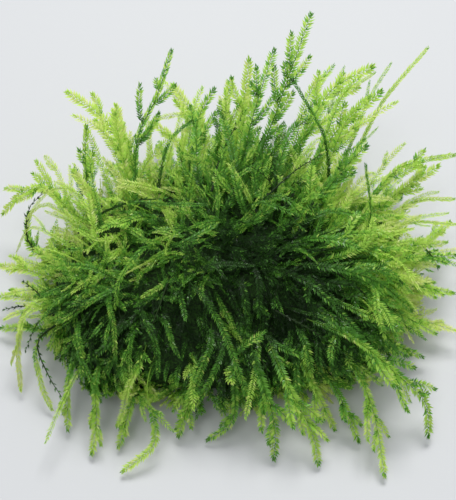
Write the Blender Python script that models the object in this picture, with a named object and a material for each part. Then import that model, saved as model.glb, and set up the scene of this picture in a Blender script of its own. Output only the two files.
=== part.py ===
"""A clump of wet feather moss, lifted out of the water and set down on a flat surface.

A mat of matted old stems carries the young shoots, which stand up at the back,
spread to both sides and droop over the front. Metres, +Z up, with the drooping
front towards -Y. The origin is the middle of the mat's flat underside.
"""

from collections import namedtuple
from math import cos, exp, radians, sin, sqrt

import bmesh
import bpy
from mathutils import Vector, bvhtree, noise

MM = 0.001
FINE_STEPS = 200  # to a route, when lengths along it are measured
GAP = 0.3 * MM  # kept between a shoot and the mat that holds its foot

# The mat: a low mound, cut flat where it rests.
MAT_CENTRE = Vector((0, 4, 6)) * MM
MAT_HALF_SIZE = Vector((35, 26, 20)) * MM
MAT_DETAIL = 4  # subdivisions of the ball that the mound is shaped from
RIPPLE_HEIGHT = 1.6 * MM
RIPPLE_RATE = 5.0  # ripples to a unit of direction

# Swellings and hollows of the mound: bearing from +X, height angle, how far it stands
# out, and how wide it spreads.
Lobe = namedtuple("Lobe", "bearing rise swell spread")
LOBES = {
    "back_left_fan": Lobe(130, 24, 1.5, 22),
    "back_middle": Lobe(92, 30, 2.0, 22),
    "back_right_fan": Lobe(55, 22, 0.5, 22),
    "right_flank": Lobe(2, 12, 1.5, 26),
    "right_front": Lobe(-38, 14, 3.5, 20),
    "front_fall": Lobe(-88, 4, 2.0, 18),
    "front_hollow": Lobe(-104, 38, -4.5, 18),
    "right_hollow": Lobe(-62, 30, -4.0, 15),
    "left_front": Lobe(-140, 6, 6.0, 24),
    "left_flank": Lobe(174, 10, 3.5, 22),
    "right_front_foot": Lobe(-68, -16, -4.5, 17),
    "front_foot": Lobe(-100, -16, -4.5, 17),
    "left_front_foot": Lobe(-128, -16, -3.0, 16),
}

# A shoot: a flat frond, widest past its middle, with a tooth for each group of leaves.
HALF_WIDTH = 1.3 * MM
RIDGE_HEIGHT = 0.75 * MM
TOOTH_PITCH = 5.4 * MM
TOOTH_PLACE = 0.8  # of the pitch, where a tooth is widest
NOTCH = 0.6  # width between two teeth, against the width at a tooth
TAPER = 3.0  # how late a frond narrows towards its tip
FOOT_WIDTH = 0.42
TIP_WIDTH = 0.12
FOOT_DEPTH = 2.5 * MM  # of a shoot's foot under the mat's surface
SOCKET_CLEAR = 5.0 * MM  # above the surface, where a shoot's socket ends
SOCKET_STEP = 3.0 * MM

# Short fronds that grow out of the mat between the shoots, like scales lying outwards.
TUFT_REACH = 10.0 * MM
TUFT_LIFT = radians(42)  # between a tuft and the mat's surface
TUFT_DROOP = 0.5  # how strongly its outer half bends down
TUFT_SPACING = 5.6 * MM
TUFT_CLEARANCE = HALF_WIDTH + GAP  # from a tuft's middle to the nearest shoot
SMALLEST_TUFT_FOOT = 5 * MM**2
TUFT_LOWEST = 3.0 * MM
FLOOR_CLEARANCE = 0.8 * MM  # above the surface that the clump rests on
# Share of the reach, and share of the full width, of each ring of a tuft.
TUFT_RINGS = ((0.18, 0.6), (0.5, 1.0), (0.6, 0.6))

# Longer fronds of the mat that arch over its crown, from foot to tip, in millimetres.
CROWN_RINGS = ((0.15, 0.7), (0.45, 0.9), (0.75, 1.0), (0.82, 0.6))
CROWN_FRONDS = (
    ((-7, -5, 26), (0, -5, 29.5), (7, -4, 30), (13, -2, 28)),
    ((8, -4, 25), (13, -8, 27.5), (18, -12, 26)),
    ((12, -3, 25), (20, -5, 26.5), (28, -6, 23), (35, -8, 16)),
    ((15, 2, 25), (23, 3, 26.5), (31, 6, 22)),
    ((2, 9, 27), (6, 7, 31), (12, 5, 30)),
    ((-14, 1, 25), (-17, -2, 28.5), (-21, -7, 26), (-22, -11, 22)),
    ((-13, 0, 26), (-9, -1, 29.5), (-3, 3, 29.5)),
    ((-22, -5, 23), (-27, -4, 25.5), (-32, -2, 23), (-37, 0, 19)),
    ((-8, -7, 25), (-5, -11, 25), (-2, -15, 22), (1, -21, 17)),
)

# Side sprigs, fused to their shoot.
SPRIG_ANGLE = radians(38)
SPRIG_WIDTH = 0.8
SPRIG_REACH = 0.55  # of the length that is left of the shoot
LONGEST_SPRIG = 8.0 * MM
FIRST_SPRIG = 0.36  # of the way along the shoot
LAST_SPRIG = 0.72

# Each shoot: its finish, its number of side sprigs, its width against HALF_WIDTH, and the
# points that it runs through from foot to tip, in millimetres.
Shoot = namedtuple("Shoot", "finish sprigs width route")
SHOOTS = {
    "back_left_spire": Shoot(
        "green", 3, 0.9, [(-19, 9, 18.5), (-19, 23, 29), (-15, 30, 35), (-12, 38, 40)]
    ),
    "back_left_fan_1": Shoot(
        "lime", 3, 1.1, [(-17, 14.5, 17.5), (-23.5, 29, 24), (-28.5, 35, 25), (-34.5, 39.5, 26)]
    ),
    "back_left_fan_2": Shoot("lime", 2, 1.0, [(-18, 12, 17), (-22, 22, 25), (-23.5, 29.5, 31)]),
    "back_left_fan_3": Shoot("lime", 2, 1.0, [(-4, 23, 15), (-7.5, 36, 20), (-12.5, 43.5, 24)]),
    "back_left_fan_4": Shoot("lime", 2, 0.9, [(-9, 24, 13), (-11, 33, 16), (-17, 38, 18)]),
    "back_left_edge": Shoot(
        "green", 2, 1.0, [(-27, 12, 10), (-29.5, 19, 17), (-30, 25.5, 23), (-29.5, 29, 27.5)]
    ),
    "crown_spire": Shoot(
        "green", 4, 1.0, [(3, 13, 23), (6, 23, 27), (9, 30, 31), (12, 36.5, 36.5), (16, 47, 41)]
    ),
    "crown_shoot_1": Shoot("green", 2, 0.9, [(0, 12, 20.5), (4, 26, 33), (8.5, 39.5, 38.5)]),
    "crown_shoot_2": Shoot("lime", 2, 1.0, [(-2, 15.5, 19), (2, 30, 31), (3.5, 37.5, 38)]),
    "crown_shoot_3": Shoot("lime", 2, 0.9, [(0, 24, 16), (2, 35, 23.5), (4.5, 39.5, 28)]),
    "crown_shoot_4": Shoot("green", 2, 0.9, [(-4.5, 16.5, 18), (-1.5, 31, 29), (0, 37, 33)]),
    "crown_shoot_5": Shoot("green", 2, 0.9, [(-9, 17, 21), (-7, 29.5, 28), (-3.5, 35, 32)]),
    "crown_stem": Shoot("stem", 0, 0.4, [(-16, 8.5, 19), (-13, 22, 29), (-8, 27, 31.5)]),
    "back_right_fan_1": Shoot(
        "lime", 3, 1.0, [(8, 17, 16.5), (15.5, 30, 25), (21, 38.5, 28), (29.5, 43, 30)]
    ),
    "back_right_fan_2": Shoot(
        "lime", 0, 0.5, [(14, 19, 15), (19, 31, 20), (23, 40, 23.5), (30.5, 45, 26)]
    ),
    "back_right_fan_3": Shoot("lime", 2, 1.0, [(12, 12, 17.5), (20, 27, 25.5), (30.5, 36, 30)]),
    "back_right_runner": Shoot(
        "lime", 0, 0.6, [(19, 15, 17), (27.5, 30, 23.5), (31, 35.5, 27), (34.5, 39, 30), (41, 46.5, 32)]
    ),
    "back_right_shoot": Shoot("green", 2, 1.0, [(15, 9, 22), (20.5, 16, 27), (26.5, 21, 31)]),
    "back_right_stem": Shoot("stem", 0, 0.4, [(20, 12, 15.5), (19, 22, 28), (17, 26, 32), (12, 34, 36)]),
    "right_stem": Shoot("stem", 0, 0.4, [(24, 4, 17), (27, 8, 24), (25.5, 14, 34)]),
    "right_shoot_1": Shoot(
        "lime", 2, 0.9, [(22, 10, 16), (29.5, 18, 20), (35, 23, 22), (46.5, 27.5, 20)]
    ),
    "right_shoot_2": Shoot("lime", 2, 1.0, [(24, 8, 13), (32, 18, 16.5), (43.5, 27, 17)]),
    "right_shoot_3": Shoot("lime", 0, 0.7, [(27, 8, 9), (33, 15, 12), (38.5, 20.5, 13), (47, 22, 12)]),
    "right_shoot_4": Shoot("lime", 2, 0.8, [(29, 4, 8), (36, 9, 10), (42, 14, 10), (46.5, 19, 8)]),
    "right_shoot_5": Shoot("lime", 0, 0.6, [(27, 6, 14), (35, 13, 15.5), (46.5, 14, 14)]),
    "right_shoot_6": Shoot("green", 3, 1.0, [(26, 2, 14), (34, 5.5, 14), (46.5, 9, 10)]),
    "right_shoot_7": Shoot("green", 3, 1.0, [(25, 0, 15), (34, 0, 13.5), (45, 0.5, 9)]),
    "right_shoot_8": Shoot("straw", 2, 0.9, [(27, -4, 8), (36, -4, 7), (45.5, -6, 5)]),
    "right_shoot_9": Shoot("green", 2, 1.0, [(25, -4, 12), (32, -7, 14), (40.5, -9, 9)]),
    "right_shoot_10": Shoot("green", 1, 1.0, [(25, -8, 5), (32, -9, 5), (38.5, -11, 3)]),
    "right_shoot_11": Shoot("green", 2, 1.0, [(21, -9, 15), (28, -12.5, 14), (34, -15, 10.5)]),
    "front_right_frond": Shoot(
        "green", 4, 1.2, [(14, -6, 20), (22, -15, 20), (31, -20.5, 14), (37, -23.5, 8), (38, -28, 2.2)]
    ),
    "front_right_1": Shoot(
        "green", 3, 1.0, [(20, -11, 13), (25, -22, 12), (27.5, -28, 7), (29, -36, 1.6)]
    ),
    "front_right_2": Shoot("green", 2, 1.0, [(15, -14, 12), (21, -23, 8), (24.5, -29, 1.8)]),
    "front_right_3": Shoot("green", 1, 1.0, [(12, -15, 14), (16.5, -22.5, 9), (20, -26.5, 2)]),
    "front_middle_1": Shoot(
        "green", 4, 1.1, [(5, -8, 15), (10, -22, 14), (15, -29, 7), (16.5, -33.5, 1.6)]
    ),
    "front_middle_2": Shoot(
        "green", 3, 1.1, [(3, -14, 17), (5.5, -22, 14), (8, -28, 8), (8, -32.5, 1.6)]
    ),
    "front_middle_3": Shoot(
        "green", 1, 0.8, [(0, -15, 16), (0.5, -21.5, 12), (0, -26.5, 6), (-5, -28.5, 1.4)]
    ),
    "front_left_1": Shoot("green", 2, 1.0, [(-7, -14, 15), (-8, -23, 10), (-10.5, -28, 2)]),
    "front_left_hook": Shoot(
        "lime", 0, 0.9, [(-14, -15, 16), (-16, -23, 14), (-15, -27, 9), (-15, -31, 5), (-21, -35, 1.6)]
    ),
    "front_left_2": Shoot("green", 2, 1.0, [(-18, -14, 12), (-19.5, -24, 8), (-22, -30, 1.6)]),
    "front_left_3": Shoot(
        "green", 2, 1.0, [(-24, -13, 13), (-26, -21, 12), (-26, -26.5, 7), (-27, -31.5, 1.6)]
    ),
    "front_left_4": Shoot("green", 1, 1.0, [(-28, -11, 12), (-31.5, -19, 9.5), (-32, -26.5, 2)]),
    "left_fall_1": Shoot(
        "lime", 0, 0.7, [(-31, -6, 11), (-38, -12, 11), (-37.5, -18, 5.5), (-35.5, -22, 1.6)]
    ),
    "left_fall_2": Shoot("lime", 1, 0.9, [(-32, -2, 13), (-40, -6, 14), (-42, -12, 9), (-42, -18, 2)]),
    "left_arch": Shoot(
        "lime", 3, 1.0, [(-27, 11, 14), (-33, 15.5, 17), (-38, 20, 18), (-43, 21, 16), (-48.5, 19.5, 10)]
    ),
    "left_shoot_1": Shoot("lime", 1, 0.9, [(-25, 11, 18), (-29, 16, 22), (-32, 20.5, 24)]),
    "left_shoot_2": Shoot("green", 1, 0.9, [(-31, 6, 9), (-39, 10, 9), (-42.5, 13, 9), (-43, 20, 10)]),
    "left_shoot_3": Shoot("lime", 2, 1.0, [(-32, 1, 12), (-41, 4, 12), (-48, 8, 8)]),
    "left_shoot_4": Shoot("lime", 1, 0.9, [(-32, -1, 7), (-41, 0, 8), (-48, 2, 5.5)]),
    "left_shoot_5": Shoot("green", 1, 0.9, [(-32, -6, 4), (-41, -5, 4.5), (-47.5, -4, 2.5)]),
    "rear_shoot_1": Shoot("green", 2, 1.0, [(-20, 20, 9), (-25, 30, 9), (-28, 38, 4)]),
    "rear_shoot_2": Shoot("green", 2, 1.0, [(-11, 24, 8), (-14, 35, 8), (-17, 44, 3)]),
    "rear_shoot_3": Shoot("green", 3, 1.0, [(-2, 26, 8), (-3, 38, 8.5), (-2, 48, 3)]),
    "rear_shoot_4": Shoot("green", 2, 1.0, [(8, 25, 8), (11, 36, 8), (11, 46, 3)]),
    "rear_shoot_5": Shoot("lime", 2, 1.0, [(16, 20, 8), (22, 31, 9), (24, 41, 4)]),
    "rear_shoot_6": Shoot("green", 2, 1.0, [(24, 14, 9), (31, 23, 9), (37, 31, 3)]),
}

# Base colour and roughness of each finish, wet moss from its oldest to its youngest.
FINISHES = {
    "mat": ((0.020, 0.055, 0.008), 0.55),
    "green": ((0.055, 0.190, 0.016), 0.42),
    "lime": ((0.230, 0.420, 0.045), 0.40),
    "straw": ((0.330, 0.330, 0.050), 0.45),
    "stem": ((0.018, 0.060, 0.010), 0.50),
}


def make_material(name):
    """One wet, non-metallic finish."""
    colour, roughness = FINISHES[name]
    material = bpy.data.materials.new(name)
    material.use_nodes = True
    shader = material.node_tree.nodes["Principled BSDF"]
    shader.inputs["Base Color"].default_value = (*colour, 1)
    shader.inputs["Roughness"].default_value = roughness
    shader.inputs["Metallic"].default_value = 0
    material.diffuse_color = (*colour, 1)
    return material


def smooth_point(route, place):
    """The point at a place from 0 to 1 of a Catmull-Rom curve through the route."""
    ends = [2 * route[0] - route[1], *route, 2 * route[-1] - route[-2]]
    along = min(place, 0.99999) * (len(route) - 1)
    first = int(along)
    t = along - first
    a, b, c, d = ends[first : first + 4]
    return (2 * b + (c - a) * t + (2 * a - 5 * b + 4 * c - d) * t**2 + (3 * b - a - 3 * c + d) * t**3) / 2


def points_along(route, shares, start=0.0, end=1.0):
    """Points at the given shares of the length of the smooth curve through the route."""
    fine = [smooth_point(route, start + (end - start) * i / FINE_STEPS) for i in range(FINE_STEPS + 1)]
    lengths = [0.0]
    for before, after in zip(fine, fine[1:]):
        lengths.append(lengths[-1] + (after - before).length)
    points = []
    at = 0
    for share in shares:
        while at < FINE_STEPS - 1 and lengths[at + 1] < lengths[-1] * share:
            at += 1
        part = (lengths[-1] * share - lengths[at]) / (lengths[at + 1] - lengths[at])
        points.append(fine[at].lerp(fine[at + 1], part))
    return points


def evenly(count):
    return [i / (count - 1) for i in range(count)]


def route_length(route, start=0.0, end=1.0):
    points = points_along(route, evenly(12), start, end)
    return sum((b - a).length for a, b in zip(points, points[1:]))


def place_at_depth(route, depth):
    """How far along the route, from 0 to 1, it last lies this deep under the mat's surface."""
    for i in range(200, 0, -1):
        from_centre = smooth_point(route, i / 200) - MAT_CENTRE
        if mat_radius(from_centre.normalized()) - from_centre.length > depth:
            return i / 200
    return 0.0


def make_section(name, half_width, ridge_height, floor):
    """The cross section that a frond is swept from: flat below, with a ridge along its back."""
    curve = bpy.data.curves.new(name, "CURVE")
    curve.dimensions = "2D"
    spline = curve.splines.new("POLY")
    corners = ((half_width, -floor), (0, ridge_height), (-half_width, -floor))
    spline.points.add(len(corners) - 1)
    for point, (x, y) in zip(spline.points, corners):
        point.co = (x, y, 0, 1)
    spline.use_cyclic_u = True
    section = bpy.data.objects.new(name, curve)
    section.hide_render = True
    section.display_type = "WIRE"
    return section


def evaluated_mesh(obj):
    """A new mesh of the object as its modifiers and curve settings shape it."""
    bpy.context.view_layer.update()
    return bpy.data.meshes.new_from_object(obj.evaluated_get(bpy.context.evaluated_depsgraph_get()))


def sweep(name, stations, widths, section):
    """A closed mesh object: the section swept along the stations at the given widths."""
    curve = bpy.data.curves.new(name, "CURVE")
    curve.dimensions = "3D"
    curve.twist_mode = "Z_UP"
    curve.bevel_mode = "OBJECT"
    curve.bevel_object = section
    curve.use_fill_caps = True
    spline = curve.splines.new("POLY")
    spline.points.add(len(stations) - 1)
    for point, place, width in zip(spline.points, stations, widths):
        point.co = (*place, 1)
        point.radius = width
    guide = bpy.data.objects.new(name + "_guide", curve)
    bpy.context.scene.collection.objects.link(guide)
    mesh = evaluated_mesh(guide)
    bpy.data.objects.remove(guide)
    shape = bmesh.new()
    shape.from_mesh(mesh)
    bmesh.ops.remove_doubles(shape, verts=shape.verts, dist=0.001 * MM)
    bmesh.ops.recalc_face_normals(shape, faces=shape.faces)
    shape.to_mesh(mesh)
    shape.free()
    return bpy.data.objects.new(name, mesh)


def frond_outline(teeth):
    """(share of the length, width) pairs of a frond: narrow foot, forward teeth, pointed tip."""
    outline = [(0.0, FOOT_WIDTH)]
    for tooth in range(teeth):
        outline.append(((tooth + TOOTH_PLACE) / teeth, 1.0))
        outline.append(((tooth + 1) / teeth, NOTCH))
    return [
        (place, width * min(1, FOOT_WIDTH + 2.5 * place) * (1 - (1 - TIP_WIDTH) * place**TAPER))
        for place, width in outline
    ]


def make_frond(name, route, width, section, teeth, start=0.0):
    """A toothed frond along the route."""
    places, widths = zip(*frond_outline(teeth))
    return sweep(name, points_along(route, places, start), [width * share for share in widths], section)


def sprig_routes(route, count):
    """Routes of the side sprigs, by turns to the left and the right of the shoot."""
    length = route_length(route)
    routes = []
    for i in range(count):
        place = FIRST_SPRIG + (LAST_SPRIG - FIRST_SPRIG) * (i + 0.5) / count
        foot = smooth_point(route, place)
        along = (smooth_point(route, place + 0.02) - foot).normalized()
        side = along.cross(Vector((0, 0, 1))).normalized() * (-1 if i % 2 else 1)
        heading = along * cos(SPRIG_ANGLE) + side * sin(SPRIG_ANGLE)
        reach = min(length * (1 - place) * SPRIG_REACH, LONGEST_SPRIG)
        bend = foot + heading * reach * 0.5
        tip = bend + (heading + along * 0.7).normalized() * reach * 0.5
        for point in (bend, tip):
            point.z = max(point.z, 2 * FLOOR_CLEARANCE)
        routes.append([foot, bend, tip])
    return routes


def fuse(target, others):
    """The target joined with the other meshes in one body; the others are used up."""
    scene_objects = bpy.context.scene.collection.objects
    scene_objects.link(target)
    for other in others:
        scene_objects.link(other)
        union = target.modifiers.new(other.name, "BOOLEAN")
        union.operation = "UNION"
        union.solver = "EXACT"
        union.object = other
    mesh = evaluated_mesh(target)
    for used in (target, *others):
        bpy.data.objects.remove(used)
    return mesh


def make_shoot(name, shoot, section, material):
    """One shoot with its side sprigs, as a single body."""
    route = [Vector(point) * MM for point in shoot.route]
    start = place_at_depth(route, FOOT_DEPTH)
    teeth = max(3, round(route_length(route, start) / TOOTH_PITCH))
    frond = make_frond(name, route, shoot.width, section, teeth, start)
    sprigs = [
        make_frond(f"{name}_sprig_{i}", sprig, shoot.width * SPRIG_WIDTH, section, 1)
        for i, sprig in enumerate(sprig_routes(route, shoot.sprigs))
    ]
    mesh = fuse(frond, sprigs)
    mesh.name = name
    mesh.materials.clear()
    mesh.materials.append(material)
    return bpy.data.objects.new(name, mesh)


def toward(bearing, rise):
    """The unit direction at a bearing from +X and an angle above the horizon, in degrees."""
    flat, up = cos(radians(rise)), sin(radians(rise))
    return Vector((flat * cos(radians(bearing)), flat * sin(radians(bearing)), up))


def mat_radius(direction):
    """How far the mat's surface lies from its centre in a direction."""
    x, y, z = (d / half for d, half in zip(direction, MAT_HALF_SIZE))
    radius = 1 / sqrt(x * x + y * y + z * z)
    for lobe in LOBES.values():
        off_axis = 1 - direction.dot(toward(lobe.bearing, lobe.rise))
        radius += lobe.swell * MM * exp(-off_axis / (1 - cos(radians(lobe.spread))))
    return radius + RIPPLE_HEIGHT * noise.noise(direction * RIPPLE_RATE)


def tuft_route(foot, normal):
    """Points from a tuft's foot to its tip, lying outwards over the mat and bending down."""
    outward = foot - MAT_CENTRE
    outward.z = 0
    flow = (outward - normal * outward.dot(normal)).normalized()
    start = flow * cos(TUFT_LIFT) + normal * sin(TUFT_LIFT)
    end = (start - Vector((0, 0, TUFT_DROOP))).normalized()
    reach = TUFT_REACH * (1 + 0.5 * noise.noise(foot / MM * 0.23))
    points = []
    for place, _ in (*TUFT_RINGS, (1.0, 0)):
        point = foot + start.lerp(end, place).normalized() * reach * place
        point.z = max(point.z, FLOOR_CLEARANCE)
        points.append(point)
    return points


def grow_tuft(shape, face, route, rings):
    """Draws one face out into a flat pointed frond along the route, with a ring at each point but the tip."""
    normal = face.normal.copy()
    for (_, width), foot, ahead in zip(rings, route, route[1:]):
        along = (ahead - foot).normalized()
        side = along.cross(normal).normalized()
        back = side.cross(along)
        middle = face.calc_center_median()
        first = max(range(3), key=lambda i: (face.verts[i].co - middle).dot(back))
        face = bmesh.ops.extrude_discrete_faces(shape, faces=[face])["faces"][0]
        corners = [face.verts[(first + i) % 3] for i in range(3)]
        corners[0].co = foot + back * RIDGE_HEIGHT * width
        corners[1].co = foot + side * HALF_WIDTH * width
        corners[2].co = foot - side * HALF_WIDTH * width
        for corner in corners:
            corner.co.z = max(corner.co.z, FLOOR_CLEARANCE)
    bmesh.ops.poke(shape, faces=[face])["verts"][0].co = route[-1]


def surface_of(objects):
    """A search tree over the surfaces of the objects."""
    joined = bmesh.new()
    for obj in objects:
        joined.from_mesh(obj.data)
    tree = bvhtree.BVHTree.FromBMesh(joined)
    joined.free()
    return tree


def lies_clear(route, surface):
    """Whether a tuft along the route keeps its distance from the surface."""
    for before, after in zip(route, route[1:]):
        for place in (0, 0.5, 1):
            if surface.find_nearest(before.lerp(after, place))[3] < TUFT_CLEARANCE:
                return False
    return True


def can_carry(face):
    """Whether a face of the mound is one that a tuft can grow from."""
    large = len(face.verts) == 3 and face.calc_area() >= SMALLEST_TUFT_FOOT
    return large and face.calc_center_median().z >= TUFT_LOWEST


def grow_crown_fronds(shape, carriers, surface):
    """Grows the crown's long fronds from the nearest carriers, which are used up; returns their feet."""
    feet = []
    for points in CROWN_FRONDS:
        start, *rest = [Vector(point) * MM for point in points]
        face = min(carriers, key=lambda carrier: (carrier.calc_center_median() - start).length)
        foot = face.calc_center_median()
        route = points_along([foot, *rest], [place for place, _ in CROWN_RINGS] + [1.0])
        if lies_clear([foot, *route], surface):
            carriers.remove(face)
            feet.append(foot)
            grow_tuft(shape, face, route, CROWN_RINGS)
    return feet


def grow_tufts(shape, shoots):
    """Grows the crown's long fronds, then tufts evenly over the mat, all clear of the shoots."""
    surface = surface_of(shoots)
    carriers = [face for face in shape.faces if can_carry(face)]
    feet = grow_crown_fronds(shape, carriers, surface)
    for face in carriers:
        foot = face.calc_center_median()
        if any((foot - other).length < TUFT_SPACING for other in feet):
            continue
        route = tuft_route(foot, face.normal)
        if lies_clear([foot, *route], surface):
            feet.append(foot)
            grow_tuft(shape, face, route, TUFT_RINGS)


def make_mound():
    """The bare mound of matted stems, cut flat underneath."""
    shape = bmesh.new()
    bmesh.ops.create_icosphere(shape, subdivisions=MAT_DETAIL, radius=1)
    for vertex in shape.verts:
        direction = vertex.co.normalized()
        vertex.co = MAT_CENTRE + direction * mat_radius(direction)
    cut = bmesh.ops.bisect_plane(
        shape,
        geom=shape.verts[:] + shape.edges[:] + shape.faces[:],
        dist=0.001 * MM,
        plane_co=(0, 0, 0),
        plane_no=(0, 0, -1),
        clear_outer=True,
    )
    rim = [piece for piece in cut["geom_cut"] if isinstance(piece, bmesh.types.BMEdge)]
    bmesh.ops.contextual_create(shape, geom=rim)
    bmesh.ops.recalc_face_normals(shape, faces=shape.faces)
    mesh = bpy.data.meshes.new("moss_mound")
    shape.to_mesh(mesh)
    shape.free()
    return bpy.data.objects.new("moss_mound", mesh)


def make_mat(shoots, sockets, material):
    """The mound with a socket for each shoot's foot, and tufts between the shoots."""
    mound = make_mound()
    bpy.context.scene.collection.objects.link(mound)
    cut = mound.modifiers.new("sockets", "BOOLEAN")
    cut.operation = "DIFFERENCE"
    cut.solver = "EXACT"
    cut.operand_type = "COLLECTION"
    cut.collection = sockets
    mesh = evaluated_mesh(mound)
    bpy.data.objects.remove(mound)
    shape = bmesh.new()
    shape.from_mesh(mesh)
    grow_tufts(shape, shoots)
    shape.to_mesh(mesh)
    shape.free()
    mesh.materials.clear()
    mesh.materials.append(material)
    return bpy.data.objects.new("moss_mat", mesh)


def make_socket(name, shoot, section):
    """A cutter a little larger than the foot of a shoot, which leaves the gap round it."""
    route = [Vector(point) * MM for point in shoot.route]
    start = place_at_depth(route, FOOT_DEPTH)
    end = place_at_depth(route, -SOCKET_CLEAR)
    steps = max(2, round(route_length(route, start, end) / SOCKET_STEP))
    stations = points_along(route, evenly(steps + 1), start, end)
    stations[0] = stations[0] - (stations[1] - stations[0]).normalized() * GAP
    widths = [shoot.width + 0.25 * (1 - shoot.width)] * len(stations)
    socket = sweep(name + "_socket", stations, widths, section)
    socket.hide_render = True
    socket.display_type = "WIRE"
    return socket


def add_collection(name):
    """A new collection of the scene."""
    collection = bpy.data.collections.new(name)
    bpy.context.scene.collection.children.link(collection)
    return collection


def main():
    """Models the clump: its shoots, and the mat with a socket for each of them."""
    for obj in list(bpy.data.objects):
        bpy.data.objects.remove(obj)
    parts = add_collection("moss_clump")
    cutters = add_collection("moss_clump_cutters")
    guides = add_collection("moss_clump_guides")
    materials = {name: make_material(name) for name in FINISHES}

    frond_section = make_section("frond_section", HALF_WIDTH, RIDGE_HEIGHT, 0)
    socket_section = make_section("socket_section", HALF_WIDTH + 3 * GAP, RIDGE_HEIGHT + 2 * GAP, 1.3 * GAP)
    guides.objects.link(frond_section)
    guides.objects.link(socket_section)

    for name, shoot in SHOOTS.items():
        parts.objects.link(make_shoot(name, shoot, frond_section, materials[shoot.finish]))
        cutters.objects.link(make_socket(name, shoot, socket_section))
    parts.objects.link(make_mat(list(parts.objects), cutters, materials["mat"]))


main()
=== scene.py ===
"""The looks of a clump of wet feather moss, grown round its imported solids.

Each free shoot is rebuilt leaf by leaf along the route that its solid follows, and the
mat between the shoots is covered with leafy sprays. Lengths are in metres, +Z is up,
and the drooping front is towards -Y.
"""

from __future__ import annotations

import logging
import math
from dataclasses import dataclass, field, fields
from enum import Enum
from typing import Any, Mapping, NamedTuple, Sequence

import bmesh
import bpy
import numpy as np
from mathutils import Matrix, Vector, noise

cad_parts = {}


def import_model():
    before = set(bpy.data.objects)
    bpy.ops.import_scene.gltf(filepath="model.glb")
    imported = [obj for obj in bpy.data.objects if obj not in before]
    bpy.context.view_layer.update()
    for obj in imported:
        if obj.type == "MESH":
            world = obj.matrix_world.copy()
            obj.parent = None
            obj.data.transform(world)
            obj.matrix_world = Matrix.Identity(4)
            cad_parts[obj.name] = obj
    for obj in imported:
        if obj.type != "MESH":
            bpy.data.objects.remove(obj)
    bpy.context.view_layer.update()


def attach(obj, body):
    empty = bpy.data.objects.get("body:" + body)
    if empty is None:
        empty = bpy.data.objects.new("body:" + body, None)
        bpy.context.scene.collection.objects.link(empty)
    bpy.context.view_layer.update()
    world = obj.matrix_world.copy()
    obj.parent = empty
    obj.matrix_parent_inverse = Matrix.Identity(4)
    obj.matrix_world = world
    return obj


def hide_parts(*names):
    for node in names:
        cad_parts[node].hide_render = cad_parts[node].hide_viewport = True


MM = 0.001
SEED = 20
BAKE_MAP = "OFBake"
ROOT = "root"
MAT_NODE = "moss_mat"
UP = np.array([0.0, 0.0, 1.0])
FORWARD = np.array([0.0, -1.0, 0.0])
BACK_START = 6.0  # millimetres behind the origin, where the clump's back begins
FRONT_START = 2.0  # millimetres before the origin, where its front begins
SLOPE_DEPTH = 18.0  # millimetres from there to where each is at its fullest
FINE_STEPS = 200  # points with which a smooth route is measured
STEM_SIDES = 3  # so that one triangle closes the tip
TONE_LIMITS = (0.02, 0.98)  # within which leaves and stems stay on the colour map
MAP_FOOT = 0.03  # where a leaf's foot lies along the colour map
MAP_TIP = 0.97
Array = np.ndarray
Colour = tuple[float, float, float]

log = logging.getLogger("moss_clump")


class Finish(Enum):
    """The finishes of the moss, by the record's slot names."""

    MAT = "mat"
    GREEN = "green"
    LIME = "lime"
    STRAW = "straw"
    STEM = "stem"


Wardrobe = Mapping[Finish, bpy.types.Material]


class Habit(Enum):
    """How a free shoot carries its leaves."""

    COMB = "spread like the teeth of a comb"
    ROPE = "leaning close to the stem"
    SCALY = "small and few, on an old stem"


class Shoot(NamedTuple):
    """A free shoot: how it looks, and its route in millimetres from foot to tip."""

    finish: Finish
    sprigs: int  # large side shoots
    width: float  # against a full shoot
    route: Sequence[tuple[float, float, float]]
    habit: Habit = Habit.COMB
    bare: float = 0.1  # share of its length, from the foot, that has no leaves
    tone: float = 0.0  # against its finish's tone


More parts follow.
